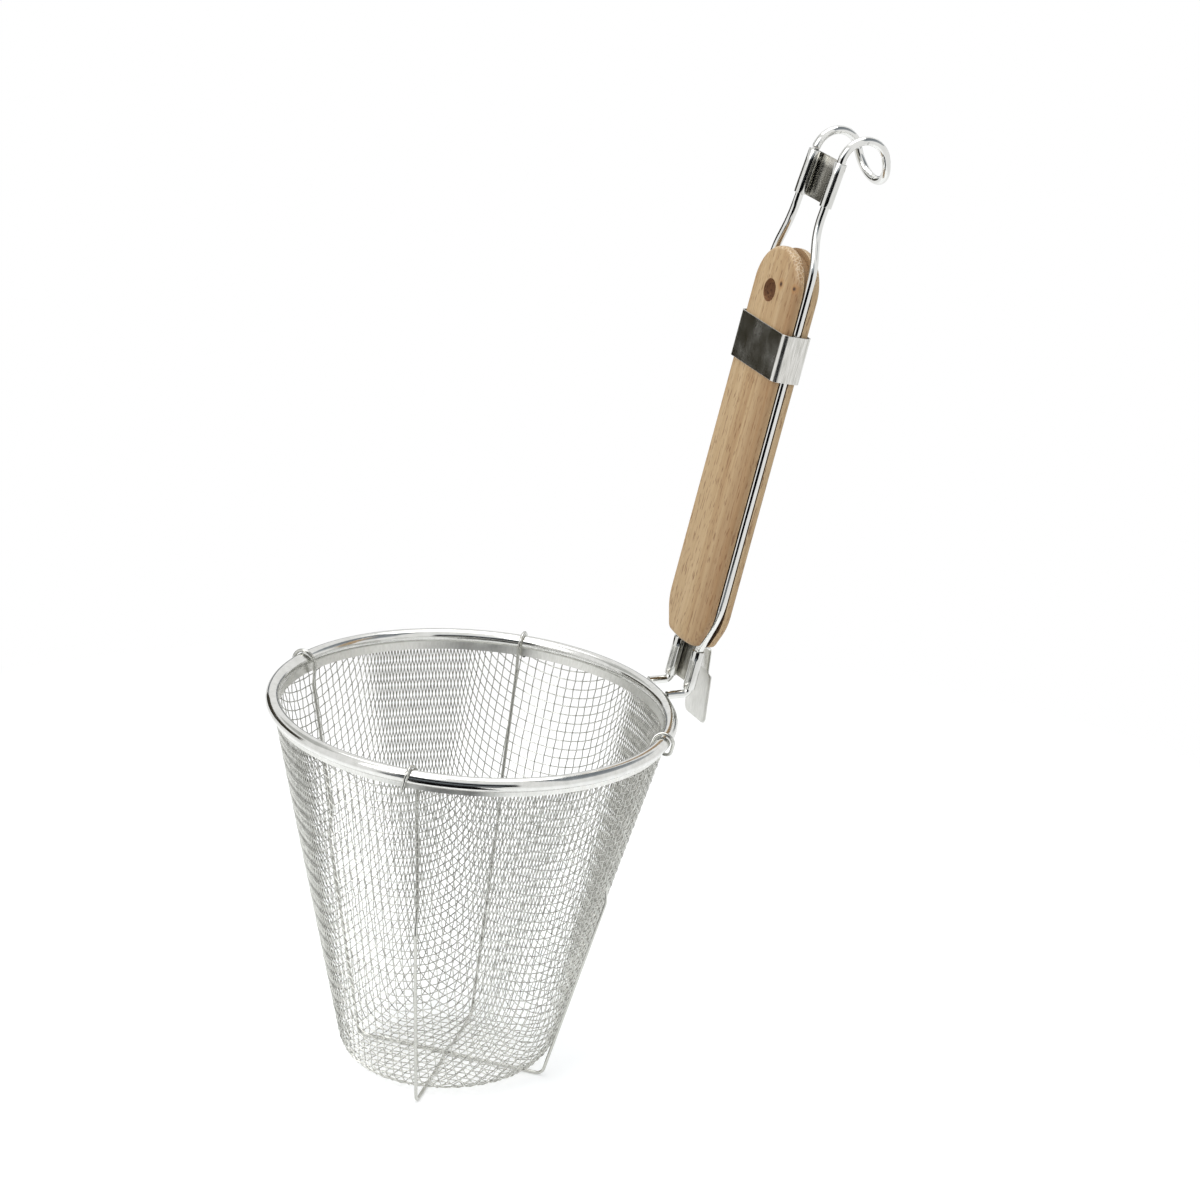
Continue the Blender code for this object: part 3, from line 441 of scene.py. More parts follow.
def wires(name, paths, diameter, finish, sides=3):
    """One object of round wires, one spline for each list of points."""
    curve = bpy.data.curves.new(name, "CURVE")
    curve.dimensions = "3D"
    curve.bevel_depth = diameter / 2
    curve.bevel_resolution = sides
    curve.use_fill_caps = True
    for path in paths:
        spline = curve.splines.new("POLY")
        spline.points.add(len(path) - 1)
        spline.points.foreach_set("co", [c for place in path for c in (*place, 1.0)])
        spline.use_smooth = True
    curve.materials.append(finish)
    piece = bpy.data.objects.new(name, curve)
    bpy.context.scene.collection.objects.link(piece)
    return piece


def mesh_piece(name, work, finishes, matrix=None, smooth_below=40 * DEGREE):
    """Turn a bmesh into an object with its finishes, shaded smooth up to an angle."""
    data = bpy.data.meshes.new(name)
    work.to_mesh(data)
    work.free()
    for finish in finishes:
        data.materials.append(finish)
    data.shade_smooth()
    data.set_sharp_from_angle(angle=smooth_below)
    piece = bpy.data.objects.new(name, data)
    bpy.context.scene.collection.objects.link(piece)
    if matrix is not None:
        piece.matrix_world = matrix
    return piece


def break_edges(piece, width):
    """Round off the sharp edges of a sheet a little, as deburring does."""
    soft = piece.modifiers.new("broken edges", "BEVEL")
    soft.width = width
    soft.segments = 2
    soft.limit_method = "ANGLE"


square_bend = rounded_path([((1, 0, 0), 0), ((0, 0, 0), 0.1), ((0, 1, 0), 0)])
print("points along a square bend", len(square_bend))

# %% [markdown]
# ## The rim
# A strip is rolled round a core wire into a bead, and its two edges close on the mesh as an
# inner and an outer skirt. In section that is one folded line with a thickness, turned round
# the cup's axis. The bead is bright and the skirts keep the strip's satin face, so the faces
# of each get their own finish.

# %% Rim band
RIM_SHEET = 0.4 * MM
SKIRT_GAP = 0.7 * MM
INNER_SKIRT = 2.4 * MM
OUTER_SKIRT = 1.6 * MM
RIM_TURNS = 240
BEAD_FACETS = 48


def rim_section(offset):
    """Half-section of the rolled strip in (down, out) steps, moved off its middle line."""
    radius = BEAD_RADIUS - RIM_SHEET / 2 + offset
    neck = SKIRT_GAP + RIM_SHEET / 2 + offset
    mouth = math.asin(neck / radius)
    line = [(BEAD_RADIUS + OUTER_SKIRT, neck)]
    for k in range(BEAD_FACETS + 1):
        bend = mouth + (2 * math.pi - 2 * mouth) * k / BEAD_FACETS
        line.append((radius * math.cos(bend), radius * math.sin(bend)))
    return line + [(BEAD_RADIUS + INNER_SKIRT, -neck)]


def make_rim():
    """Turn the folded section round the cup, skirts in satin and bead in bright finish."""
    outside = rim_section(RIM_SHEET / 2)
    inside = rim_section(-RIM_SHEET / 2)
    section = outside + inside[::-1]
    skirts = (0, len(outside) - 2)
    work = bmesh.new()
    rings = []
    for k in range(RIM_TURNS):
        angle = 2 * math.pi * k / RIM_TURNS
        rings.append([work.verts.new(wall_point(down, out, angle)) for down, out in section])
    for k, ring in enumerate(rings):
        following = rings[(k + 1) % RIM_TURNS]
        for m in range(len(section)):
            n = (m + 1) % len(section)
            face = work.faces.new((ring[m], following[m], following[n], ring[n]))
            face.material_index = 1 if m in skirts else 0
    bmesh.ops.recalc_face_normals(work, faces=work.faces)
    return mesh_piece("rim_bead", work, [BRIGHT_STRIP, SATIN_STRIP], smooth_below=50 * DEGREE)


rim = dress(make_rim(), "strainer", "rim_band")
print("rim faces", len(rim.data.polygons))

# %% [markdown]
# ## The net
# A flat square of plain-woven wire cloth is pressed into the cup. The wires don't stretch, so
# each square of the weave keeps its sides and only turns into a diamond. That gives the cup
# its look: open squares on four sides, and tall thin diamonds between them. The same rule
# draws it here. Two wires are laid straight over the base and up the wall, and every other
# crossing is found one pitch away from its two neighbours. Where the diamonds close up, the
# cloth locks and shares out the strain. So the crossings on the wall then drift a little
# towards the middle of their neighbours.

# %% Where the wires cross
NET_PITCH = 25.4 / 8 * MM
NET_WIRE_DIAMETER = 0.41 * MM
NET_TURN = 37.5 * DEGREE
DRIFT_ROUNDS = 14
NET_EDGE = 2.2 * MM
NET_TOP = MERIDIAN - NET_EDGE


def straight_crossings(count):
    """Ways up the cup of the crossings on a wire that runs straight up it."""
    line = [0.0]
    while len(line) < count:
        low, high = line[-1], line[-1] + 2 * NET_PITCH
        for _ in range(40):
            middle = (low + high) / 2
            near = (level_point(middle, 0) - level_point(line[-1], 0)).length < NET_PITCH
            low, high = (middle, high) if near else (low, middle)
        line.append(high)
    return line


def fourth_corner(left, right, inner):
    """The crossing one pitch from both neighbours, on the far side of the inner one."""
    a, b = level_point(*left), level_point(*right)
    guess = a + b - level_point(*inner)
    angle = math.atan2(guess.y, guess.x - CUP_X)
    tries = [max(0.0, min(left[0], right[0]) + NET_PITCH * (k / 4 - 1)) for k in range(17)]
    along = min(tries, key=lambda value: (level_point(value, angle) - guess).length)
    tiny = 1e-7
    for _ in range(40):
        here = level_point(along, angle)
        miss_a = (here - a).length - NET_PITCH
        miss_b = (here - b).length - NET_PITCH
        if abs(miss_a) + abs(miss_b) < 1e-8:
            break
        up = level_point(along + tiny, angle)
        turned = level_point(along, angle + tiny / NET_PITCH)
        a_up = ((up - a).length - NET_PITCH - miss_a) / tiny
        b_up = ((up - b).length - NET_PITCH - miss_b) / tiny
        a_turn = ((turned - a).length - NET_PITCH - miss_a) / tiny * NET_PITCH
        b_turn = ((turned - b).length - NET_PITCH - miss_b) / tiny * NET_PITCH
        scale = a_up * b_turn - a_turn * b_up
        if abs(scale) < 1e-9:
            break
        move = (miss_a * b_turn - miss_b * a_turn) / scale
        spin = (a_up * miss_b - b_up * miss_a) / scale
        ease = min(1.0, NET_PITCH / 2 / (abs(move) + 1e-12), 0.4 / (abs(spin) + 1e-12))
        along -= ease * move
        angle -= ease * spin
    return along, angle


def drape_quarter():
    """Crossings of a quarter of the net: {(i, j): (way up the cup, angle)}."""
    line = straight_crossings(int(2.2 * MERIDIAN / NET_PITCH) + 2)
    nodes = {(k, 0): (along, 0.0) for k, along in enumerate(line)}
    nodes.update({(0, k): (along, math.pi / 2) for k, along in enumerate(line)})
    for total in range(2, 2 * len(line)):
        for i in range(1, total):
            j = total - i
            near = ((i - 1, j), (i, j - 1), (i - 1, j - 1))
            left, right, inner = (nodes.get(key) for key in near)
            if left and right and inner and min(left[0], right[0]) <= MERIDIAN + NET_PITCH:
                nodes[(i, j)] = fourth_corner(left, right, inner)
    return nodes


net = {}
for (i, j), (along, angle) in drape_quarter().items():
    for turn, key in enumerate(((i, j), (-j, i), (-i, -j), (j, -i))):
        net[key] = (along, angle + turn * math.pi / 2 + NET_TURN)


def relax():
    """Let every crossing on the wall drift towards the middle of its four neighbours."""
    for _ in range(DRIFT_ROUNDS):
        moved = {}
        for (i, j), (along, angle) in net.items():
            around = [net.get(key) for key in ((i - 1, j), (i + 1, j), (i, j - 1), (i, j + 1))]
            if along < BASE_FLAT + CORNER_ARC or None in around:
                continue
            climb = sum(near[0] - along for near in around) / 4
            turn = sum(math.remainder(near[1] - angle, 2 * math.pi) for near in around) / 4
            moved[(i, j)] = (along + climb / 2, angle + turn / 2)
        net.update(moved)


relax()
print("crossings below the rim", sum(along < NET_TOP for along, _ in net.values()))

# %% [markdown]
# In a plain weave every wire goes over one neighbour and under the next. A crossing where the
# two numbers of its place add up to an even number has the warp outside, and the weft outside
# at the others. Each wire bends just enough to pass, so its middle line swings by half its
# thickness. Wires of real cloth also stray by a tenth of a millimetre or so, which a slow
# noise adds.

# %% Weave the wires
CRIMP = NET_WIRE_DIAMETER / 2
STRAY = 0.16 * MM
STRAY_WAVE = 11 * MM
# Unseeded noise starts from the clock, and the net would then differ from run to run
noise.seed_set(4)


def crossing_point(key, outside):
    """World place of one wire at a crossing, pushed out of or into the wall."""
    place = cup_point(*net[key])
    stray = noise.noise_vector(place / STRAY_WAVE) * STRAY
    angle = math.atan2(place.y, place.x - CUP_X)
    shift = stray.dot(Vector((-math.sin(angle), math.cos(angle), 0)))
    along = net[key][0] + stray.z
    radius = max((place - Vector((CUP_X, 0, place.z))).length, NET_PITCH)
    return cup_point(max(along, 0.0), net[key][1] + shift / radius, CRIMP if outside else -CRIMP)


def woven(by_row):
    """Paths of all wires that run one way, cut off at the rim. by_row picks weft, not warp."""
    lines = {}
    for i, j in net:
        lines.setdefault(j if by_row else i, []).append(i if by_row else j)
    paths = []
    for fixed, moving in lines.items():
        path, last = [], None
        for step in range(min(moving), max(moving) + 1):
            key = (step, fixed) if by_row else (fixed, step)
            if key not in net:
                continue
            point = crossing_point(key, (sum(key) % 2 == 0) != by_row)
            inside = net[key][0] < NET_TOP
            if last is not None and (inside or last[1]):
                middle = (point + last[0]) / 2
                if inside and last[1]:
                    path.append(middle)
                else:
                    low, high = sorted((net[key][0], last[2]))
                    share = (NET_TOP - low) / max(high - low, 1e-9)
                    path.append(last[0].lerp(point, share if last[1] else 1 - share))
                    if last[1]:
                        paths.append(path)
                        path = []
            if inside:
                path.append(point)
            last = (point, inside, net[key][0])
        if len(path) > 1:
            paths.append(path)
    return [path for path in paths if len(path) > 2]


warp = wires("net_warp", woven(False), NET_WIRE_DIAMETER, NET_WIRE, sides=1)
weft = wires("net_weft", woven(True), NET_WIRE_DIAMETER, NET_WIRE, sides=1)
dress(warp, "strainer", "mesh_basket")
dress(weft, "strainer", None)
print("warp wires", len(warp.data.splines), "weft wires", len(weft.data.splines))

# %% [markdown]
# ## The support wires
# Two U-shaped wires carry the cup. Each end hooks over the rim, runs down inside the net, goes
# out through one opening and reaches the ground at a foot that stands clear of the cup's
# rounded corner. One wire passes straight under the base and the other is bridged over it.

# %% Support wires
SUPPORT_RADIUS = 0.6 * MM
SUPPORT_A = ((-44 * DEGREE, 5.5 * MM, 59.6 * MM), (124.5 * DEGREE, 4.5 * MM, 59 * MM))
SUPPORT_B = ((51.5 * DEGREE, -1.5 * MM, 59 * MM), (230.8 * DEGREE, -4.2 * MM, 59 * MM))
THREAD_RUN = 9 * MM
LEG_INSIDE, LEG_OUTSIDE = 1.2 * MM, 1.3 * MM
RIM_CLEARANCE = 0.3 * MM
GROUND_CLEARANCE = 0.06 * MM
TIP_STAND_OFF = 0.7 * MM
TIP_BEND, LEG_BEND, FOOT_BEND, BRIDGE_BEND = 2 * MM, 5 * MM, 3.2 * MM, 1.5 * MM
BRIDGE_LIFT = 1.5 * MM
BRIDGE_STEPS = ((-8.1, 0), (-2.4, BRIDGE_LIFT), (2.4, BRIDGE_LIFT), (8.1, 0))


def support_leg(angle, skew, through):
    """Corners of one leg, from its hooked tip down to the foot."""
    over = BEAD_RADIUS + RIM_CLEARANCE + SUPPORT_RADIUS
    under = BEAD_RADIUS + OUTER_SKIRT + RIM_CLEARANCE + SUPPORT_RADIUS
    drop = RIM_Z - FOOT_Z - GROUND_CLEARANCE - SUPPORT_RADIUS
    fall = drop - LEG_OUTSIDE * math.sin(WALL_LEAN)
    tip = angle + skew / RIM_RADIUS
    crest = angle + skew / RIM_RADIUS / 2
    return [
        (wall_point(under, TIP_STAND_OFF, tip), 0),
        (wall_point(under, over, tip), TIP_BEND),
        (wall_point(-over, over, crest), over),
        (wall_point(-over, -over, crest), over),
        (wall_point(BEAD_RADIUS, -over, angle), LEG_BEND),
        (wall_point(BEAD_RADIUS + INNER_SKIRT + LEG_BEND, -LEG_INSIDE, angle), LEG_BEND),
        (wall_point(through - THREAD_RUN / 2, -LEG_INSIDE, angle), LEG_BEND),
        (wall_point(through + THREAD_RUN / 2, LEG_OUTSIDE, angle), LEG_BEND),
        (wall_point(fall / math.cos(WALL_LEAN), LEG_OUTSIDE, angle), FOOT_BEND),
    ]


def crossing_of(first, second):
    """Where two straight runs under the base cross, seen from above."""
    along, other, start = first[1] - first[0], second[1] - second[0], second[0] - first[0]
    scale = along.x * other.y - along.y * other.x
    return first[0] + along * ((start.x * other.y - start.y * other.x) / scale)


legs_a = [support_leg(*leg) for leg in SUPPORT_A]
legs_b = [support_leg(*leg) for leg in SUPPORT_B]
feet_a, feet_b = ([leg[-1][0] for leg in legs] for legs in (legs_a, legs_b))
cross = crossing_of(feet_a, feet_b)
run = (feet_b[1] - feet_b[0]).normalized()
bridge = [(cross + run * reach * MM + Vector((0, 0, rise)), BRIDGE_BEND)
          for reach, rise in BRIDGE_STEPS]
for name, node, corners in (
        ("support_wire_flat", "support_wire_a", legs_a[0] + legs_a[1][::-1]),
        ("support_wire_bridged", "support_wire_b", legs_b[0] + bridge + legs_b[1][::-1])):
    support = wires(name, [rounded_path(corners)], 2 * SUPPORT_RADIUS, DRAWN_WIRE, sides=6)
    dress(support, "strainer", node)
print("feet", [[round(c / MM, 1) for c in foot] for foot in feet_a + feet_b])

# %% [markdown]
# ## The handle wire
# One wire starts at a weld on the rim, bends up through the lower clip, opens out to the
# grip's width, runs in its groove, closes up again, leans back through the upper clip and
# turns over into the hook. There it swings round in a half circle and comes back the same way.

# %% Handle wire
HANDLE_RADIUS = 1.5 * MM
DRAWN_UNDER_SIZE = 0.07 * MM
LOWER_HALF, GRIP_HALF, UPPER_HALF, HOOK_HALF = 7.15 * MM, 14.25 * MM, 9.15 * MM, 9.55 * MM
SPREAD_BOTTOM, SPREAD_TOP = 16.7 * MM, 31.5 * MM
NECK_BOTTOM, NECK_TOP = 155.5 * MM, 168.2 * MM
WELD_X = -6.9 * MM
ROOT_RISE = 0.5 * MM
ROOT_BEND, SPREAD_BEND, SIDE_BEND = 2.2 * MM, 8 * MM, 25 * MM
HOOK_LEAN = 5.4 * DEGREE
HOOK_TURN = 75 * DEGREE
HOOK_RADIUS = 8.5 * MM
HOOK_RISE = 0.9 * MM
HOOK_UNEVENNESS = 1.1 * MM
UPPER_CLIP_TOP = 23.9 * MM


def leaned(up):
    """Place behind and along the handle, measured up the leaned-back part."""
    return up * math.sin(HOOK_LEAN), NECK_TOP + up * math.cos(HOOK_LEAN)


def half_handle_wire(side):
    """Corners from one welded end at the rim to the bottom of the hook."""
    root = on_handle(0, side * LOWER_HALF, ROOT_RISE / math.cos(HANDLE_LEAN))
    arm = HOOK_RADIUS * math.tan(HOOK_TURN / 2)
    leave = leaned(UPPER_CLIP_TOP + HOOK_RISE / 2)
    first = leaned(UPPER_CLIP_TOP + HOOK_RISE - side * HOOK_UNEVENNESS / 2 + arm)
    slope = HOOK_LEAN + HOOK_TURN
    second = (first[0] + 2 * arm * math.sin(slope), first[1] + 2 * arm * math.cos(slope))
    slope += HOOK_TURN
    fall = arm + HOOK_HALF
    last = (second[0] + fall * math.sin(slope), second[1] + fall * math.cos(slope))
    return [
        (Vector((WELD_X, side * LOWER_HALF, root.z)), 0),
        (root, ROOT_BEND),
        (on_handle(0, side * LOWER_HALF, SPREAD_BOTTOM), SPREAD_BEND),
        (on_handle(0, side * GRIP_HALF, SPREAD_TOP), SIDE_BEND),
        (on_handle(0, side * GRIP_HALF, NECK_BOTTOM), SIDE_BEND),
        (on_handle(0, side * UPPER_HALF, NECK_TOP), SIDE_BEND),
        (on_handle(leave[0], side * UPPER_HALF, leave[1]), 0),
        (on_handle(first[0], side * (UPPER_HALF + HOOK_HALF) / 2, first[1]), HOOK_RADIUS),
        (on_handle(second[0], side * HOOK_HALF, second[1]), HOOK_RADIUS),
        (on_handle(last[0], side * HOOK_HALF, last[1]), HOOK_HALF),
    ]


handle_path = rounded_path(half_handle_wire(-1) + half_handle_wire(1)[::-1], 3 * DEGREE)
handle_wire = wires("bent_handle_wire", [handle_path], 2 * HANDLE_RADIUS - DRAWN_UNDER_SIZE,
                    POLISHED_WIRE, sides=14)
dress(handle_wire, "strainer", "handle_wire")
length = sum((b - a).length for a, b in zip(handle_path, handle_path[1:]))
print("handle wire", round(length / MM), "mm long")

# %% [markdown]
# ## The clips
# Each clip is a strip curled round both wires, with a web between the two curls that bulges
# to the back. In section it is one line of points with a sheet's thickness, drawn out along
# the handle. Solidify gives the sheet and a small bevel breaks its edges.

# %% Clips
CLIP_SHEET = 0.4 * MM
SLIP = 0.25 * MM
CLIP_RADIUS = HANDLE_RADIUS + SLIP + CLIP_SHEET / 2
CLIP_CURL = 300 * DEGREE
WEB_BULGE = 0.6 * MM
CURL_STEPS, WEB_STEPS, LENGTH_STEPS = 36, 12, 4
SHEET_EDGE = 0.08 * MM


def clip_line(half):
    """The clip's middle line in section, from one curl's end over the web to the other's."""
    line = []
    for k in range(CURL_STEPS, 0, -1):
        bend = CLIP_CURL * k / CURL_STEPS
        line.append((CLIP_RADIUS * math.cos(bend), half + CLIP_RADIUS * math.sin(bend)))
    for k in range(WEB_STEPS + 1):
        share = k / WEB_STEPS
        line.append((CLIP_RADIUS + WEB_BULGE * 4 * share * (1 - share), half * (1 - 2 * share)))
    for k in range(1, CURL_STEPS + 1):
        bend = CLIP_CURL * k / CURL_STEPS
        line.append((CLIP_RADIUS * math.cos(bend), -half - CLIP_RADIUS * math.sin(bend)))
    return line


def sheet_object(name, rows, finishes, matrix, second):
    """A thickened sheet through rows of points. second(row, column) picks the second finish."""
    work = bmesh.new()
    grid = [[work.verts.new(place) for place in row] for row in rows]
    for row, (low, high) in enumerate(zip(grid, grid[1:])):
        for k in range(len(low) - 1):
            face = work.faces.new((low[k], low[k + 1], high[k + 1], high[k]))
            face.material_index = 1 if second(row, k) else 0
    bmesh.ops.recalc_face_normals(work, faces=work.faces)
    piece = mesh_piece(name, work, finishes, matrix)
    shell = piece.modifiers.new("sheet", "SOLIDIFY")
    shell.thickness = CLIP_SHEET
    shell.offset = 0
    break_edges(piece, SHEET_EDGE)
    return piece


def clip(name, half, start, length, matrix):
    """A clip round two wires half apart on either side, from start along its length."""
    line = clip_line(half)
    rows = [[(x, y, start + length * k / LENGTH_STEPS) for x, y in line]
            for k in range(LENGTH_STEPS + 1)]
    return sheet_object(name, rows, [PRESSED_STRIP, RUBBED_STRIP], matrix,
                        lambda row, k: 0 <= k - CURL_STEPS < WEB_STEPS)


back, up = leaned(0)
NECK_ROOT = HANDLE_MATRIX @ Matrix.Translation((back, 0, up))
NECK_MATRIX = NECK_ROOT @ Matrix.Rotation(HOOK_LEAN, 4, "Y")
CLIPS = (
    ("rim_side_clip", "lower_clip", LOWER_HALF, 2.4 * MM, 13.8 * MM, HANDLE_MATRIX),
    ("hook_side_clip", "upper_clip", UPPER_HALF, 8.4 * MM, 15.5 * MM, NECK_MATRIX),
)
for name, node, half, start, length, matrix in CLIPS:
    dress(clip(name, half, start, length, matrix), "strainer", node)
print("clips", [name for name, *_ in CLIPS], "of", len(clip_line(LOWER_HALF)), "points each")

# %% [markdown]
# ## The rest tab
# The lower clip's web runs on upwards as a narrow strip, folds back over itself and widens
# into a tab that hangs behind the wires. When the strainer hangs on a pot, the tab lies
# against the pot's outer wall. It is drawn as rows of points over the fold and down the tab,
# each with its own half width. The fold shines where the press stretched it, so its rows get
# the pressed finish.

# %% Rest tab
TAB_ACROSS, TAB_CORNER_STEPS = 8, 6
TAB_ROOT_Z, TAB_FOLD_Z, TAB_SHOULDER_Z = 14.2 * MM, 17.2 * MM, 8.8 * MM
TAB_STAND_OFF = 3.3 * MM
TAB_FOLD_BEND = 1.65 * MM
TAB_SPLAY = 8 * DEGREE
TAB_LENGTH, TAB_CORNER = 19 * MM, 2.5 * MM
STRIP_HALF, TAB_HALF = 5.5 * MM, 8 * MM
TAB_SHOULDERS = (
    (0.7 * MM, STRIP_HALF + 0.2 * MM),
    (1.1 * MM, TAB_HALF - 0.5 * MM),
    (1.6 * MM, TAB_HALF),
)


def tab_rows():
    """Rows of the folded strip and tab in the handle's frame, and how many steps the fold has."""
    web = CLIP_RADIUS + WEB_BULGE
    far = web + TAB_STAND_OFF
    bend = TAB_FOLD_BEND * math.cos(TAB_SPLAY)
    fold = rounded_path([
        ((web, 0, TAB_ROOT_Z), 0),
        ((web, 0, TAB_FOLD_Z), bend),
        ((far, 0, TAB_FOLD_Z), bend),
        ((far + (TAB_FOLD_Z - TAB_SHOULDER_Z) * math.tan(TAB_SPLAY), 0, TAB_SHOULDER_Z), 0),
    ], 8 * DEGREE)
    rows = [(point.x, point.z, STRIP_HALF) for point in fold]
    turns = [k * 90 / TAB_CORNER_STEPS * DEGREE for k in range(TAB_CORNER_STEPS + 1)]
    foot = [(TAB_LENGTH - TAB_CORNER * (1 - math.sin(turn)),
             TAB_HALF - TAB_CORNER * (1 - math.cos(turn))) for turn in turns]
    for down, half in (*TAB_SHOULDERS, *foot):
        rows.append((fold[-1].x + down * math.sin(TAB_SPLAY),
                     fold[-1].z - down * math.cos(TAB_SPLAY), half))
    return [[(back, half * (2 * k / TAB_ACROSS - 1), up) for k in range(TAB_ACROSS + 1)]
            for back, up, half in rows], len(fold) - 1


rows, fold_steps = tab_rows()
rest_tab = sheet_object("rest_tab", rows, [SATIN_STRIP, PRESSED_STRIP], HANDLE_MATRIX,
                        lambda row, k: row < fold_steps)
dress(rest_tab, "strainer", None)
print("tab rows", len(rows), "of which in the fold", fold_steps + 1)

# %% [markdown]
# ## The grip
# One board: a half-round top, slightly drawn-in shoulders at the bottom, rounded edges, a
# groove all round for the wire and a hole to hang it by. The outline is a filled 2D curve with
# its own round bevel, and groove and hole are cut with Booleans, as the router and drill do.

# %% Grip
GRIP_START, GRIP_HALF_WIDTH = 17.6 * MM, 14.7 * MM
GRIP_THICKNESS = 9.8 * MM
GRIP_END_HALF, GRIP_END_ARCH, GRIP_END_CORNER = 9.3 * MM, 0.8 * MM, 3.2 * MM
GRIP_TAPER = 10.2 * MM
GROOVE_WIDTH, GROOVE_DEPTH = 3.6 * MM, 2.2 * MM
GROOVE_RUN_OUT = 2 * MM
EDGE_RADIUS = 1.6 * MM
DOME_STEP = 5 * DEGREE
ROUTER_REACH, ROUTER_LOW, ROUTER_HIGH = 17 * MM, 5 * MM, 165 * MM
HOLE_RADIUS, HOLE_SIDE, HOLE_UP = 4 * MM, 2.2 * MM, 143.4 * MM
DRILL_LENGTH = 20 * MM
ALONG_GRIP = Matrix(((0, 0, 1, 0), (1, 0, 0, 0), (0, 1, 0, 0), (0, 0, 0, 1)))


def dome(half):
    """The half-round top of the grip's outline, with its half width."""
    centre = GRIP_TOP - GRIP_HALF_WIDTH
    turns = [k * DOME_STEP for k in range(1, 36)]
    return [(half * math.cos(turn), centre + half * math.sin(turn)) for turn in turns]


def grip_outline():
    """Outline of the broad face in (side, up): arched end, drawn-in shoulders, round top."""
    side = rounded_path([
        ((GRIP_END_HALF / 2, 0, GRIP_START + GRIP_END_ARCH / 4), 0),
        ((GRIP_END_HALF, 0, GRIP_START + GRIP_END_ARCH), GRIP_END_CORNER),
        ((GRIP_HALF_WIDTH, 0, GRIP_START + GRIP_TAPER), GRIP_HALF_WIDTH),
        ((GRIP_HALF_WIDTH, 0, GRIP_TOP - GRIP_HALF_WIDTH), 0),
    ])
    return ([(0, GRIP_START)] + [(point.x, point.z) for point in side] + dome(GRIP_HALF_WIDTH)
            + [(-point.x, point.z) for point in side[::-1]])


def groove_floor():
    """Outline of what the groove leaves in the middle: it follows the wires."""
    high = Vector((GRIP_HALF, 0, SPREAD_TOP))
    low = Vector((LOWER_HALF, 0, SPREAD_BOTTOM))
    path = rounded_path([(low + (low - high).normalized() * GROOVE_RUN_OUT, 0), (high, SIDE_BEND),
                         (Vector((GRIP_HALF, 0, GRIP_TOP - GRIP_HALF_WIDTH)), 0)])
    room = HANDLE_RADIUS + SLIP
    side = []
    for k, point in enumerate(path):
        way = (path[min(k + 1, len(path) - 1)] - path[max(k - 1, 0)]).normalized()
        side.append((point.x - way.z * room, point.z + way.x * room))
    return side + dome(GRIP_HALF_WIDTH - GROOVE_DEPTH) + [(-x, y) for x, y in side[::-1]]


def shaped_mesh(thing):
    """A new mesh of what an object looks like after its fill, bevel and modifiers."""
    bpy.context.view_layer.update()
    graph = bpy.context.evaluated_depsgraph_get()
    return bpy.data.meshes.new_from_object(thing.evaluated_get(graph))


def flat_solid(name, loops, thickness, rounding=0.0):
    """A flat piece from outline loops, with its thickness along X of the handle's frame."""
    curve = bpy.data.curves.new(name, "CURVE")
    curve.dimensions = "2D"
    curve.fill_mode = "BOTH"
    curve.extrude = thickness / 2 - rounding
    curve.bevel_depth = rounding
    curve.bevel_resolution = 3
    curve.offset = -rounding
    for loop in loops:
        spline = curve.splines.new("POLY")
        spline.points.add(len(loop) - 1)
        spline.points.foreach_set("co", [c for x, y in loop for c in (x, y, 0.0, 1.0)])
        spline.use_cyclic_u = True
    drawn = bpy.data.objects.new(name, curve)
    bpy.context.scene.collection.objects.link(drawn)
    data = shaped_mesh(drawn)
    bpy.data.objects.remove(drawn, do_unlink=True)
    work = bmesh.new()
    work.from_mesh(data)
    bpy.data.meshes.remove(data)
    bmesh.ops.remove_doubles(work, verts=work.verts, dist=0.002 * MM)
    bmesh.ops.transform(work, matrix=ALONG_GRIP, verts=work.verts)
    bmesh.ops.recalc_face_normals(work, faces=work.faces)
    return work


def cut(piece, work, finish):
    """Cut a tool out of a piece, and give the cut walls their finish."""
    tool = mesh_piece("tool", work, [finish], piece.matrix_world)
    modifier = piece.modifiers.new("cut", "BOOLEAN")
    modifier.object = tool
    modifier.solver = "EXACT"
    modifier.material_mode = "TRANSFER"
    data = shaped_mesh(piece)
    piece.modifiers.clear()
    piece.data = data
    bpy.data.objects.remove(tool, do_unlink=True)
    data.shade_smooth()
    data.set_sharp_from_angle(angle=30 * DEGREE)


grip = mesh_piece("beech_grip", flat_solid("board", [grip_outline()], GRIP_THICKNESS, EDGE_RADIUS),
                  [BEECH], HANDLE_MATRIX)
around = [(ROUTER_REACH, ROUTER_LOW), (ROUTER_REACH, ROUTER_HIGH),
          (-ROUTER_REACH, ROUTER_HIGH), (-ROUTER_REACH, ROUTER_LOW)]
# The groove's walls get the beech with painted shade
cut(grip, flat_solid("router", [around, groove_floor()], GROOVE_WIDTH), GROOVE_BEECH_PAINTED_SHADE)
drill = bmesh.new()
hole_place = Matrix.Translation((0, HOLE_SIDE, HOLE_UP))
bmesh.ops.create_cone(drill, cap_ends=True, segments=64, radius1=HOLE_RADIUS, radius2=HOLE_RADIUS,
                      depth=DRILL_LENGTH, matrix=hole_place @ Matrix.Rotation(math.pi / 2, 4, "Y"))
# The hole's wall gets the beech with painted shade
cut(grip, drill, HOLE_BEECH_PAINTED_SHADE)
dress(grip, "strainer", "grip")
print("grip faces", len(grip.data.polygons), "finishes", [m.name for m in grip.data.materials])

# %% [markdown]
# ## The sliding band
# A strip bent into a loop clamps the wires into their grooves and slides along the grip. It is
# the one piece that moves, so it rides on its own body.

# %% Grip band
BAND_SHEET = 0.45 * MM
BAND_CORNER = 2.4 * MM
BAND_START, BAND_HEIGHT = 116.3 * MM, 16.4 * MM
BAND_EDGE = 0.1 * MM


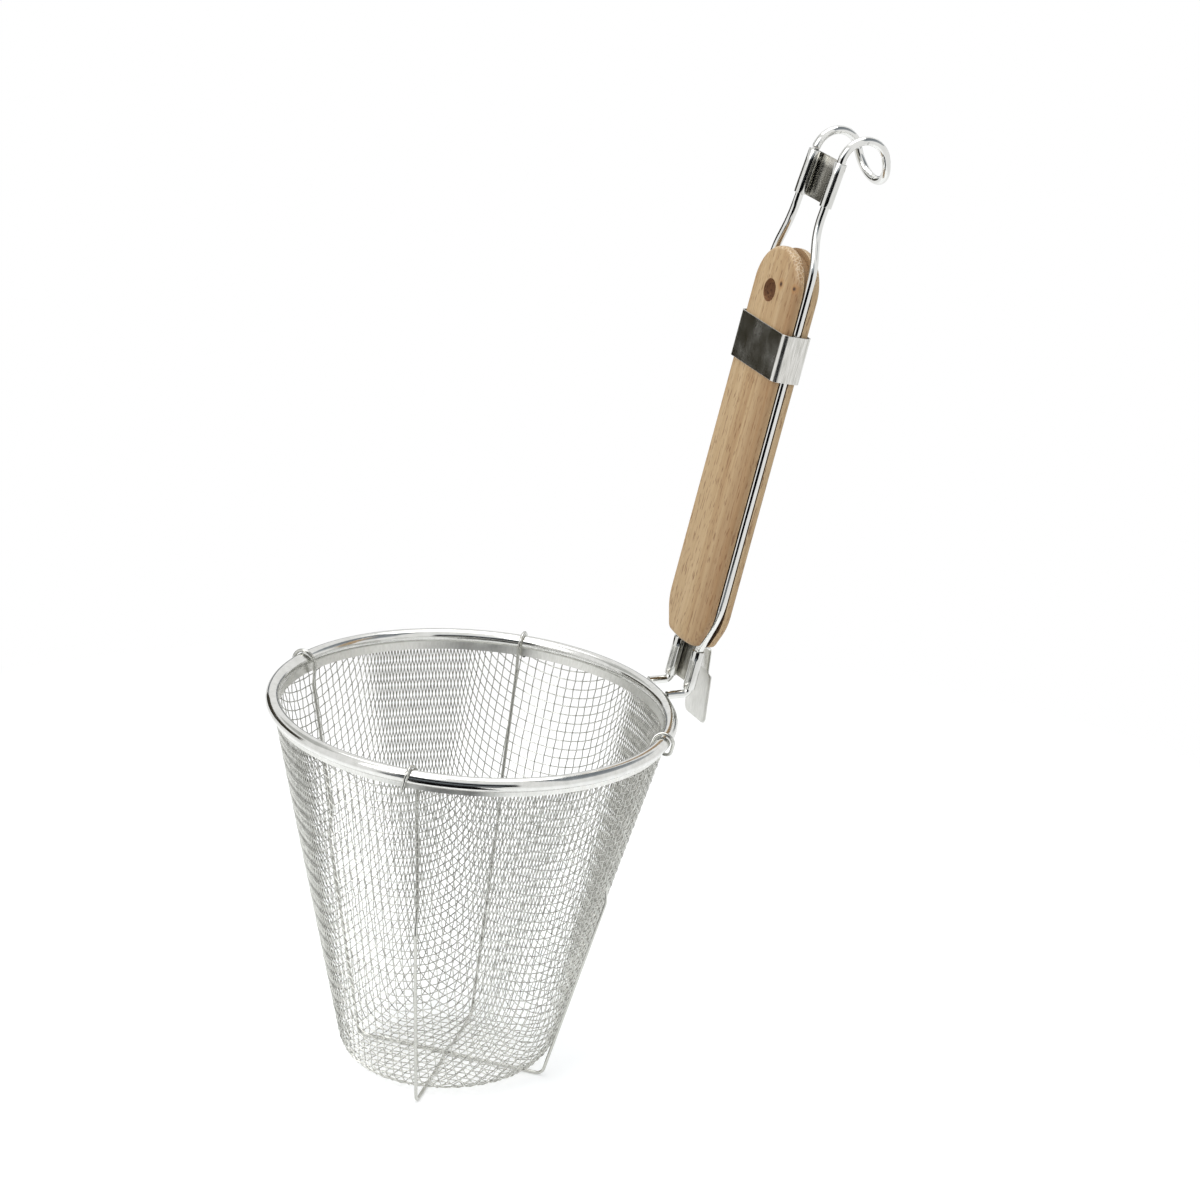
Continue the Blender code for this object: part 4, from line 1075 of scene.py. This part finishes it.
def rounded_rectangle(half_x, half_y, radius, steps=10):
    """Outline of a rectangle with round corners."""
    points = []
    for quarter, (sx, sy) in enumerate(((1, 1), (-1, 1), (-1, -1), (1, -1))):
        for k in range(steps + 1):
            bend = math.pi / 2 * (quarter + k / steps)
            points.append((sx * (half_x - radius) + radius * math.cos(bend),
                           sy * (half_y - radius) + radius * math.sin(bend)))
    return points


def make_band():
    """The loop: an outer and an inner outline joined at both ends, with broken edges."""
    half_x = GRIP_THICKNESS / 2 + SLIP
    half_y = GRIP_HALF + HANDLE_RADIUS + SLIP
    outlines = (rounded_rectangle(half_x + BAND_SHEET, half_y + BAND_SHEET, BAND_CORNER),
                rounded_rectangle(half_x, half_y, BAND_CORNER - BAND_SHEET))
    work = bmesh.new()
    levels = []
    for outline in outlines:
        for up in (BAND_START, BAND_START + BAND_HEIGHT):
            levels.append([work.verts.new((x, y, up)) for x, y in outline])
    outer_low, outer_high, inner_low, inner_high = levels
    tour = (outer_low, outer_high, inner_high, inner_low, outer_low)
    for a, b in zip(tour, tour[1:]):
        for k in range(len(a)):
            n = (k + 1) % len(a)
            work.faces.new((a[k], a[n], b[n], b[k]))
    bmesh.ops.recalc_face_normals(work, faces=work.faces)
    piece = mesh_piece("sliding_band", work, [BRUSHED_STRIP], HANDLE_MATRIX)
    break_edges(piece, BAND_EDGE)
    return piece


band = dress(make_band(), "band", "grip_band")
print("band", BAND_HEIGHT / MM, "mm high")

# %% [markdown]
# ## The floor
# The photograph is a cut-out on white. A pale floor carries a soft shadow and fades to plain
# white before its edge. That white shows to the camera and in reflections only, so it adds no
# light. The floor follows the feet, which stand a little askew under the cup.

# %% Floor
FLOOR_RADIUS = 0.75
FADE_START, FADE_END = 0.16, 0.42
PAPER_GRAIN = 1 / 900


def seen_rays(tree):
    """1 for rays of the camera, reflections and see-through things, 0 for all other light."""
    path = add_node(tree, "ShaderNodeLightPath")
    both = add_node(tree, "ShaderNodeMath", {
        0: path.outputs["Is Camera Ray"], 1: path.outputs["Is Glossy Ray"]}, operation="ADD")
    every = add_node(tree, "ShaderNodeMath", {
        0: both.outputs[0], 1: path.outputs["Is Transmission Ray"]},
        operation="ADD", use_clamp=True)
    return every.outputs[0]


def make_floor():
    """A pale disc that is a real floor near the strainer and plain white further out."""
    made, tree, out = new_material("pale paper floor")
    place = add_node(tree, "ShaderNodeTexCoord").outputs["Object"]
    far = add_node(tree, "ShaderNodeVectorMath", {0: place}, operation="LENGTH")
    fade = add_node(tree, "ShaderNodeMapRange", {
        "Value": far.outputs["Value"], "From Min": FADE_START, "From Max": FADE_END})
    white = add_node(tree, "ShaderNodeEmission", {"Color": srgb("#ffffff"), "Strength": 1.0})
    fibre = add_node(tree, "ShaderNodeTexNoise", {"Vector": place, "Scale": 1 / PAPER_GRAIN})
    tint = add_node(tree, "ShaderNodeValToRGB", {"Fac": fibre.outputs["Fac"]}, stops=(
        (0.3, "#f4f4f3"), (0.7, "#fafafa")))
    paper = add_node(tree, "ShaderNodeBsdfDiffuse", {"Color": tint.outputs["Color"]})
    glow = add_node(tree, "ShaderNodeEmission", {"Color": srgb("#ffffff"), "Strength": 0.25})
    near = add_node(tree, "ShaderNodeAddShader", {0: paper.outputs[0], 1: glow.outputs[0]})
    shown = add_node(tree, "ShaderNodeMixShader", {
        0: fade.outputs["Result"], 1: near.outputs[0], 2: white.outputs[0]})
    mixed = add_node(tree, "ShaderNodeMixShader", {
        0: seen_rays(tree), 1: paper.outputs[0], 2: shown.outputs[0]})
    tree.links.new(mixed.outputs[0], out.inputs["Surface"])
    work = bmesh.new()
    bmesh.ops.create_circle(work, cap_ends=True, segments=96, radius=FLOOR_RADIUS)
    lean = Matrix.Rotation(BASE_TILT, 4, Vector((-math.sin(LOW_SIDE), math.cos(LOW_SIDE), 0)))
    floor = mesh_piece("floor", work, [made], Matrix.Translation((CUP_X, 0, FOOT_Z)) @ lean)


make_floor()
print("floor under the feet at", round(FOOT_Z / MM, 1), "mm, fading out by", FADE_END, "m")

# %% [markdown]
# ## The world
# Most of what polished steel shows is its surroundings, so the world is white to the camera
# and to reflections. The light it sends is weaker and slightly cool, so that pale surfaces
# keep their own tone.

# %% World


def make_world():
    """White where it is seen or mirrored, and a softer, slightly cool light for the rest."""
    world = bpy.data.worlds.new("white studio")
    bpy.context.scene.world = world
    world.use_nodes = True
    tree = world.node_tree
    tree.nodes.clear()
    seen = add_node(tree, "ShaderNodeBackground", {"Color": srgb("#ffffff"), "Strength": 1.0})
    lit = add_node(tree, "ShaderNodeBackground", {"Color": srgb("#f2f5f8"), "Strength": 0.75})
    mixed = add_node(tree, "ShaderNodeMixShader", {
        0: seen_rays(tree), 1: lit.outputs[0], 2: seen.outputs[0]})
    out = add_node(tree, "ShaderNodeOutputWorld")
    tree.links.new(mixed.outputs[0], out.inputs["Surface"])


make_world()
print("world", bpy.context.scene.world.name)

# %% [markdown]
# ## Cards for the reflections
# Bright steel in an all-white room looks like paper. Photographers stand black and grey cards
# round it, and their reflections draw the dark streak along each wire. Towards the camera lie
# black felt and a low grey step, and behind them stands a black panel that fades up to white.
# A brown card stands behind on the left for the band and the upper clip, a grey one behind on
# the right, and two pale ones hang higher up. Each card is a curved strip between two rings
# round the cup. Only reflections see it: the camera looks through it and it casts no shade.

# %% Cards
TABLE = FOOT_Z + 3 * MM
CARD_STEPS = 24
# name, azimuths in degrees, (distance, height) where it starts and ends, tones on the way
CARDS = (
    ("card_front_felt", (214, 264), (0.12, TABLE), (0.9, TABLE),
     ("#070707", "#0b0b0c", "#101113")),
    ("card_front_step", (204, 262), (0.25, -0.075), (0.25, 0.008),
     ("#222426", "#54585c", "#8a9096")),
    ("card_front_high", (207, 272), (0.9, TABLE), (0.9, 0.33),
     ("#0b0b0c", "#0b0b0c", "#0d0e0f")),
    ("card_front_fade", (207, 272), (0.9, 0.33), (0.9, 0.6),
     ("#2c3034", "#a9b0b7", "#f8fafb")),
    ("card_left", (94, 146), (1.1, TABLE), (1.1, 0.32),
     ("#25231c", "#3a372d", "#504d44")),
    ("card_back", (30, 93), (1.2, -0.04), (1.2, 0.22),
     ("#8c8f92", "#6e7174", "#9c9fa2")),
    ("card_upper_right", (300, 375), (1.0, 0.45), (0.6, 1.3),
     ("#b4b8bc", "#8e949a", "#7b8187")),
    ("card_upper_left", (100, 150), (1.0, 0.5), (0.8, 0.95),
     ("#cfd0ce", "#c3c4c2", "#cfd0ce")),
)


def make_card(name, azimuths, start, end, tones):
    """A curved card between two rings, each a (distance, height), with tones on the way."""
    made, tree, out = new_material(name)
    share = add_node(tree, "ShaderNodeAttribute", attribute_name="share")
    tone = add_node(tree, "ShaderNodeValToRGB", {"Fac": share.outputs["Fac"]}, stops=(
        (0.0, tones[0]), (0.35, tones[1]), (1.0, tones[2])))
    paper = add_node(tree, "ShaderNodeEmission", {"Color": tone.outputs["Color"], "Strength": 1.0})
    tree.links.new(paper.outputs[0], out.inputs["Surface"])
    work = bmesh.new()
    layer = work.verts.layers.float.new("share")
    grid = []
    for k in range(CARD_STEPS + 1):
        way = math.radians(azimuths[0] + (azimuths[1] - azimuths[0]) * k / CARD_STEPS)
        grid.append([])
        for part, (distance, height) in enumerate((start, end)):
            corner = work.verts.new((distance * math.cos(way), distance * math.sin(way), height))
            corner[layer] = part
            grid[-1].append(corner)
    for a, b in zip(grid, grid[1:]):
        work.faces.new((a[0], b[0], b[1], a[1]))
    card = mesh_piece(name, work, [made], Matrix.Translation((CUP_X, 0, 0)))
    card.visible_camera = False
    card.visible_diffuse = False
    card.visible_shadow = False
    card.visible_transmission = False


for card in CARDS:
    make_card(*card)
print("cards", [name for name, *_ in CARDS])

# %% [markdown]
# ## The lamps
# Two large soft lamps, one to the left and one overhead, stand for the studio's light boxes.
# They are weaker than the world's light and only give the round pieces a brighter side.

# %% Lamps
# name, place in metres, width in metres, power in watts
LAMPS = (
    ("key", (-0.9, -0.35, 0.75), 0.7, 5.0),
    ("top", (0.0, 0.2, 1.1), 0.9, 5.0),
)
LAMP_TARGET = Vector((0, 0, 0.02))
for name, place, width, power in LAMPS:
    lamp = bpy.data.lights.new(name, "AREA")
    lamp.size = width
    lamp.energy = power
    holder = bpy.data.objects.new(name, lamp)
    holder.location = place
    aim = LAMP_TARGET - holder.location
    holder.rotation_euler = aim.to_track_quat("-Z", "Y").to_euler()
    bpy.context.scene.collection.objects.link(holder)
print("lamps", [name for name, *_ in LAMPS])

# %% [markdown]
# ## The end
# The standard view transform shows a colour about as it is written.

# %% Last lines
bpy.context.scene.view_settings.view_transform = "Standard"
